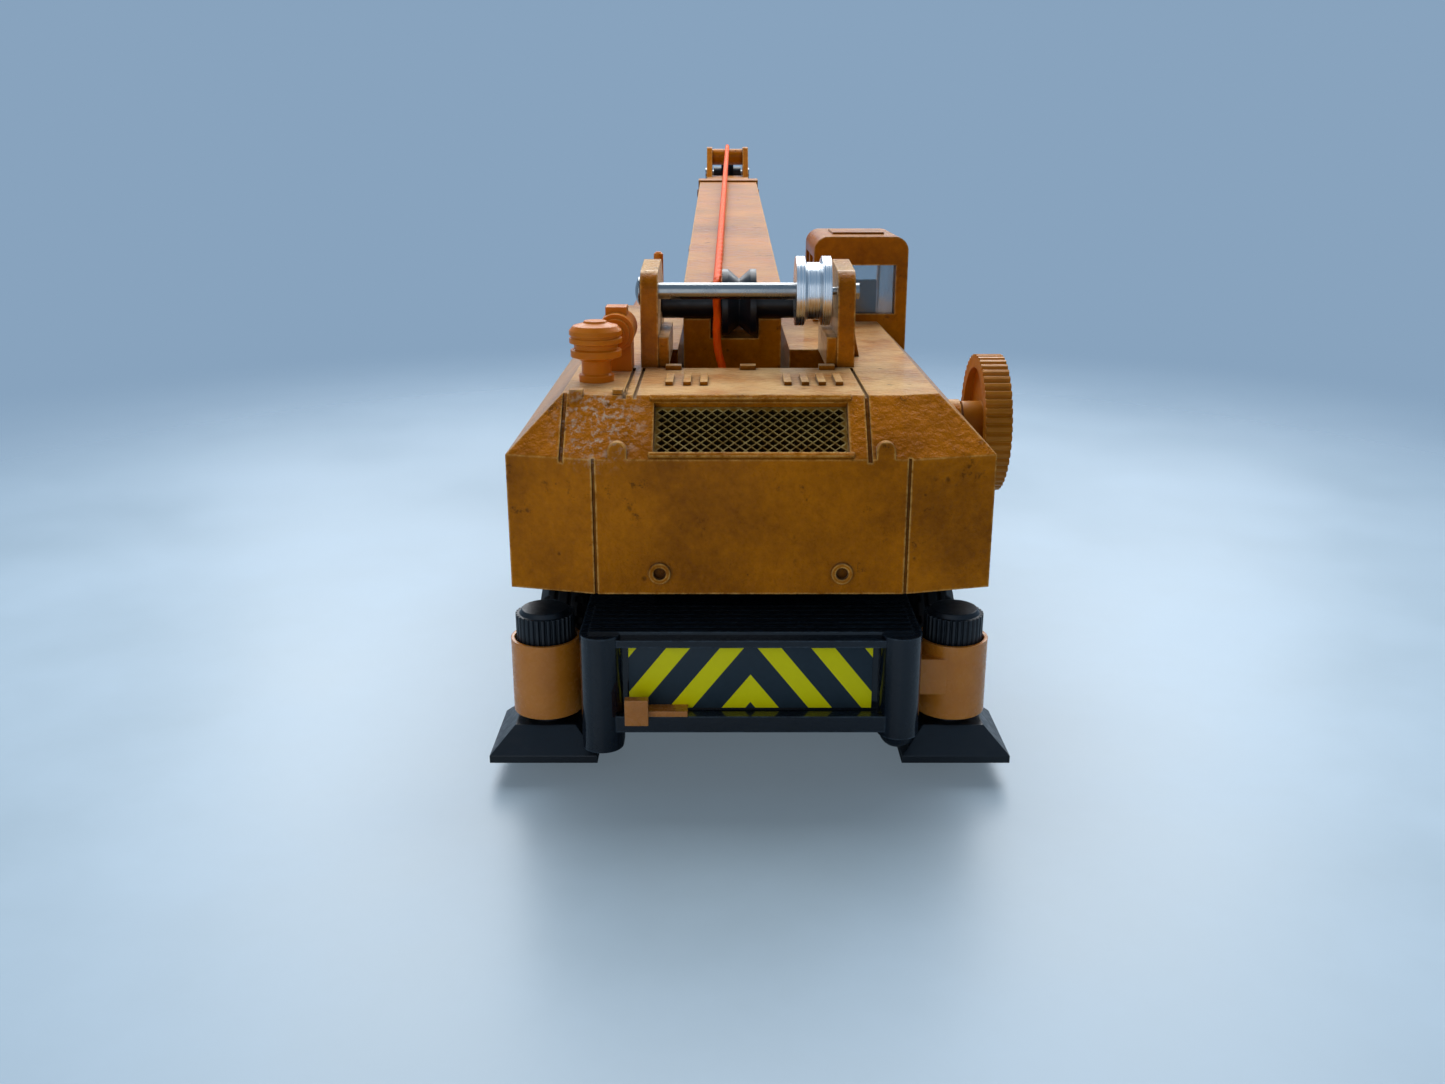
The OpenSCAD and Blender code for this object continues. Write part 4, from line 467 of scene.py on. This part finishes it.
def rope(name, points, nodes):
    """Rope of three strands laid round a path in millimetres that never runs along X."""
    sides, strands, lay, core, swell = 18, 3, 3.2, 0.4, 0.1
    path = smooth([Vector(p) for p in points], 0.28)
    corners, faces, wrap = [], [], []
    length = 0.0
    for i, point in enumerate(path):
        ahead = (path[min(i + 1, len(path) - 1)] - path[max(i - 1, 0)]).normalized()
        across = (Vector((1, 0, 0)) - ahead * ahead.x).normalized()
        up = ahead.cross(across)
        if i:
            length += (point - path[i - 1]).length
        for j in range(sides):
            angle = 2 * math.pi * j / sides
            lobe = abs(math.cos(strands / 2 * (angle - 2 * math.pi * length / (strands * lay))))
            radius = core + swell * lobe ** 0.7
            corners.append((point + radius * (math.cos(angle) * across + math.sin(angle) * up)) * MM)
            wrap.append((j / sides, length / lay))
    for i in range(len(path) - 1):
        for j in range(sides):
            k = (j + 1) % sides
            faces.append((i * sides + j, i * sides + k, (i + 1) * sides + k, (i + 1) * sides + j))
    last = (len(path) - 1) * sides
    faces.append(tuple(range(sides - 1, -1, -1)))
    faces.append(tuple(range(last, last + sides)))
    mesh = bpy.data.meshes.new(name)
    mesh.from_pydata(corners, [], faces)
    layer = mesh.uv_layers.new(name="lay")
    for loop in mesh.loops:
        layer.data[loop.index].uv = wrap[loop.vertex_index]
    mesh.shade_smooth()
    mesh.materials.append(cord_finish)
    piece = bpy.data.objects.new(name, mesh)
    bpy.context.scene.collection.objects.link(piece)
    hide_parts(*nodes)
    return piece


cord_finish = twisted_nylon("twisted nylon")

# The rope's route, from the same sizes as the solids: drum, shaft, boom, guide, head sheave and hook
BOOM_X, PIVOT_Y, PIVOT_Z = -1.7, -22.5, 47.1
WINCH_Y, WINCH_Z, WIND_R, WIND_X = -26.0, 33.0, 3.15, -1.9
WIND_PITCH, WIND_DEGREES = 1.45, 1260
ROPE_X, WRAP_R = -3.55, 2.45
COS, SIN = math.cos(math.radians(4)), math.sin(math.radians(4))
GUIDE, SHEAVE = (172.0, 3.225), (181.0, -1.475)
GUIDE_R, SHEAVE_R, ROPE_OFF = 1.9, 3.4, 0.55
HOOK_EYE_Z = 35.9


def on_boom(x, s, n):
    """A point s along the boom and n above its pivot line."""
    return (x, PIVOT_Y + s * COS - n * SIN, PIVOT_Z + s * SIN + n * COS)


def round_at(centre, radius, degrees):
    """A point on a circle in the boom's plane."""
    angle = math.radians(degrees)
    return on_boom(BOOM_X, centre[0] + radius * math.cos(angle), centre[1] + radius * math.sin(angle))


def metres(point):
    """The same point in metres."""
    return [c * MM for c in point]


drum_turns = [(WIND_X - WIND_PITCH * a / 360, WINCH_Y - WIND_R * math.cos(math.radians(a)),
               WINCH_Z - WIND_R * math.sin(math.radians(a))) for a in range(WIND_DEGREES, -1, -12)]
over_shaft = [(ROPE_X, PIVOT_Y + WRAP_R * math.cos(math.radians(a)),
               PIVOT_Z + WRAP_R * math.sin(math.radians(a))) for a in (162, 150, 138, 126, 114, 104, 94)]
foot_y, foot_z = WINCH_Y - WIND_R, WINCH_Z + 2
lead_start = (WIND_X, foot_y, WINCH_Z + 1)
rising = [(WIND_X + (ROPE_X - WIND_X) * min(1, k / 0.6), (foot_y + 0.1) * (1 - k) + over_shaft[0][1] * k,
           foot_z * (1 - k) + over_shaft[0][2] * k) for k in (0, 0.2, 0.4, 0.6, 0.8)]
top_n = GUIDE[1] + GUIDE_R + ROPE_OFF
on_deck = [on_boom(ROPE_X + (BOOM_X - ROPE_X) * k / 12, GUIDE[0] * k / 12,
                   WRAP_R + (top_n - WRAP_R) * k / 12) for k in range(13)]
span = (SHEAVE[0] - GUIDE[0], SHEAVE[1] - GUIDE[1])
bend = math.degrees(math.atan2(span[1], span[0]) + math.acos((GUIDE_R - SHEAVE_R) / math.hypot(*span)))
over_head = [round_at(GUIDE, GUIDE_R + ROPE_OFF, 90 + (bend - 90) * i / 3) for i in range(4)]
over_head += [round_at(SHEAVE, SHEAVE_R + ROPE_OFF, bend - (bend + 4) * i / 9) for i in range(10)]
hang = over_head[-1]
falling = [(BOOM_X, hang[1], hang[2] + (HOOK_EYE_Z - hang[2]) * k / 6) for k in range(7)]

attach(rope("rope_on_drum", drum_turns + [lead_start], ["rope_winding"]), "winch")
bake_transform(rope("rope_to_shaft", [lead_start] + rising + over_shaft, ["rope_lead"]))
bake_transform(rope("rope_on_base", on_deck[:7], ["rope_boom"]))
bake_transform(rope("rope_on_inner", on_deck[6:], ["rope_boom"]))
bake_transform(rope("rope_over_head", over_head, ["rope_tip"]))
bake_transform(rope("rope_to_hook", falling, ["rope_fall"]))


def stripe_panel():
    """Printed plate in the recess of the stern, with softened edges."""
    centre, size, foot = (0, -57.12, 12.9), (25.2, 0.2, 7.2), 9.6
    bpy.ops.object.select_all(action="DESELECT")
    bpy.ops.mesh.primitive_cube_add(size=1, location=metres(centre))
    plate = bpy.context.object
    plate.name = "stripe_panel"
    plate.scale = metres(size)
    bpy.ops.object.transform_apply(location=True, rotation=True, scale=True)
    bpy.ops.object.mode_set(mode="EDIT")
    bpy.ops.mesh.select_all(action="SELECT")
    bpy.ops.mesh.bevel(offset=0.06 * MM, segments=2, affect="EDGES")
    bpy.ops.object.mode_set(mode="OBJECT")
    bpy.ops.object.shade_smooth_by_angle(angle=math.radians(40))
    plate.data.materials.append(stripe_print("striped vinyl", foot))
    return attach(plate, "carrier")


stripe_panel()

# Table, background and soft light from above
bpy.ops.object.select_all(action="DESELECT")
bpy.ops.mesh.primitive_plane_add(size=0.7, location=(0, 0.01, 0))
table = bpy.context.object
table.name = "table"
table.data.materials.append(table_laminate("pale laminate"))
bpy.ops.object.transform_apply(location=True, rotation=True, scale=True)

world = bpy.context.scene.world or bpy.data.worlds.new("studio")
bpy.context.scene.world = world
world.use_nodes = True
sky = world.node_tree
sky.nodes.clear()
seen = add(sky, "LightPath")
straight = add(sky, "Math", {"operation": "MAXIMUM"},
               {0: seen.outputs["Is Camera Ray"], 1: seen.outputs["Is Glossy Ray"]})
through = add(sky, "Math", {"operation": "MAXIMUM"},
              {0: straight.outputs[0], 1: seen.outputs["Is Transmission Ray"]})
backdrop = add(sky, "Background", (), {"Color": linear("88A3BE"), "Strength": 1.0})
# The room's own light is weakest from above and behind, where the slopes of the housing look
way = add(sky, "VectorMath", {"operation": "DOT_PRODUCT"},
          {0: add(sky, "TexCoord").outputs["Generated"], 1: [0, -0.7, 0.7]})
dim = add(sky, "MapRange", EASED, {"Value": way.outputs["Value"], "From Min": 0.0, "From Max": 0.8,
                                   "To Min": 0.56, "To Max": 0.14})
fill = add(sky, "Background", (), {"Color": linear("DCE8F2"), "Strength": dim.outputs[0]})
either = add(sky, "MixShader", (), {0: through.outputs[0], 1: fill.outputs[0], 2: backdrop.outputs[0]})
add(sky, "OutputWorld", (), {"Surface": either.outputs[0]})

for name, place, tilt, size, power in (
        ("ceiling_softbox", (0.02, 0.39, 0.48), (-39, 0, 0), 0.7, 7.0),
        ("room_fill", (-0.2, -0.5, 0.1), (82, 0, -22), 0.5, 0.65)):
    bpy.ops.object.light_add(type="AREA", location=place, rotation=[math.radians(a) for a in tilt])
    lamp = bpy.context.object
    lamp.name = name
    lamp.data.shape = "SQUARE"
    lamp.data.size = size
    lamp.data.energy = power

# The photograph's view: from behind, 17.3 degrees down, no roll, 1280 pixels of focal length
PHOTO_WIDTH, FOCAL_PIXELS, LOOK_DOWN = 1445, 1280, 17.3
bpy.ops.object.camera_add(location=metres((-2.9, -179.5, 65.5)),
                          rotation=(math.radians(90 - LOOK_DOWN), 0, 0))
camera = bpy.context.object
camera.data.sensor_width = 36
camera.data.lens = camera.data.sensor_width * FOCAL_PIXELS / PHOTO_WIDTH
camera.data.clip_start = 0.005
bpy.context.scene.camera = camera
bpy.context.scene.view_settings.view_transform = "Standard"

bpy.context.view_layer.update()
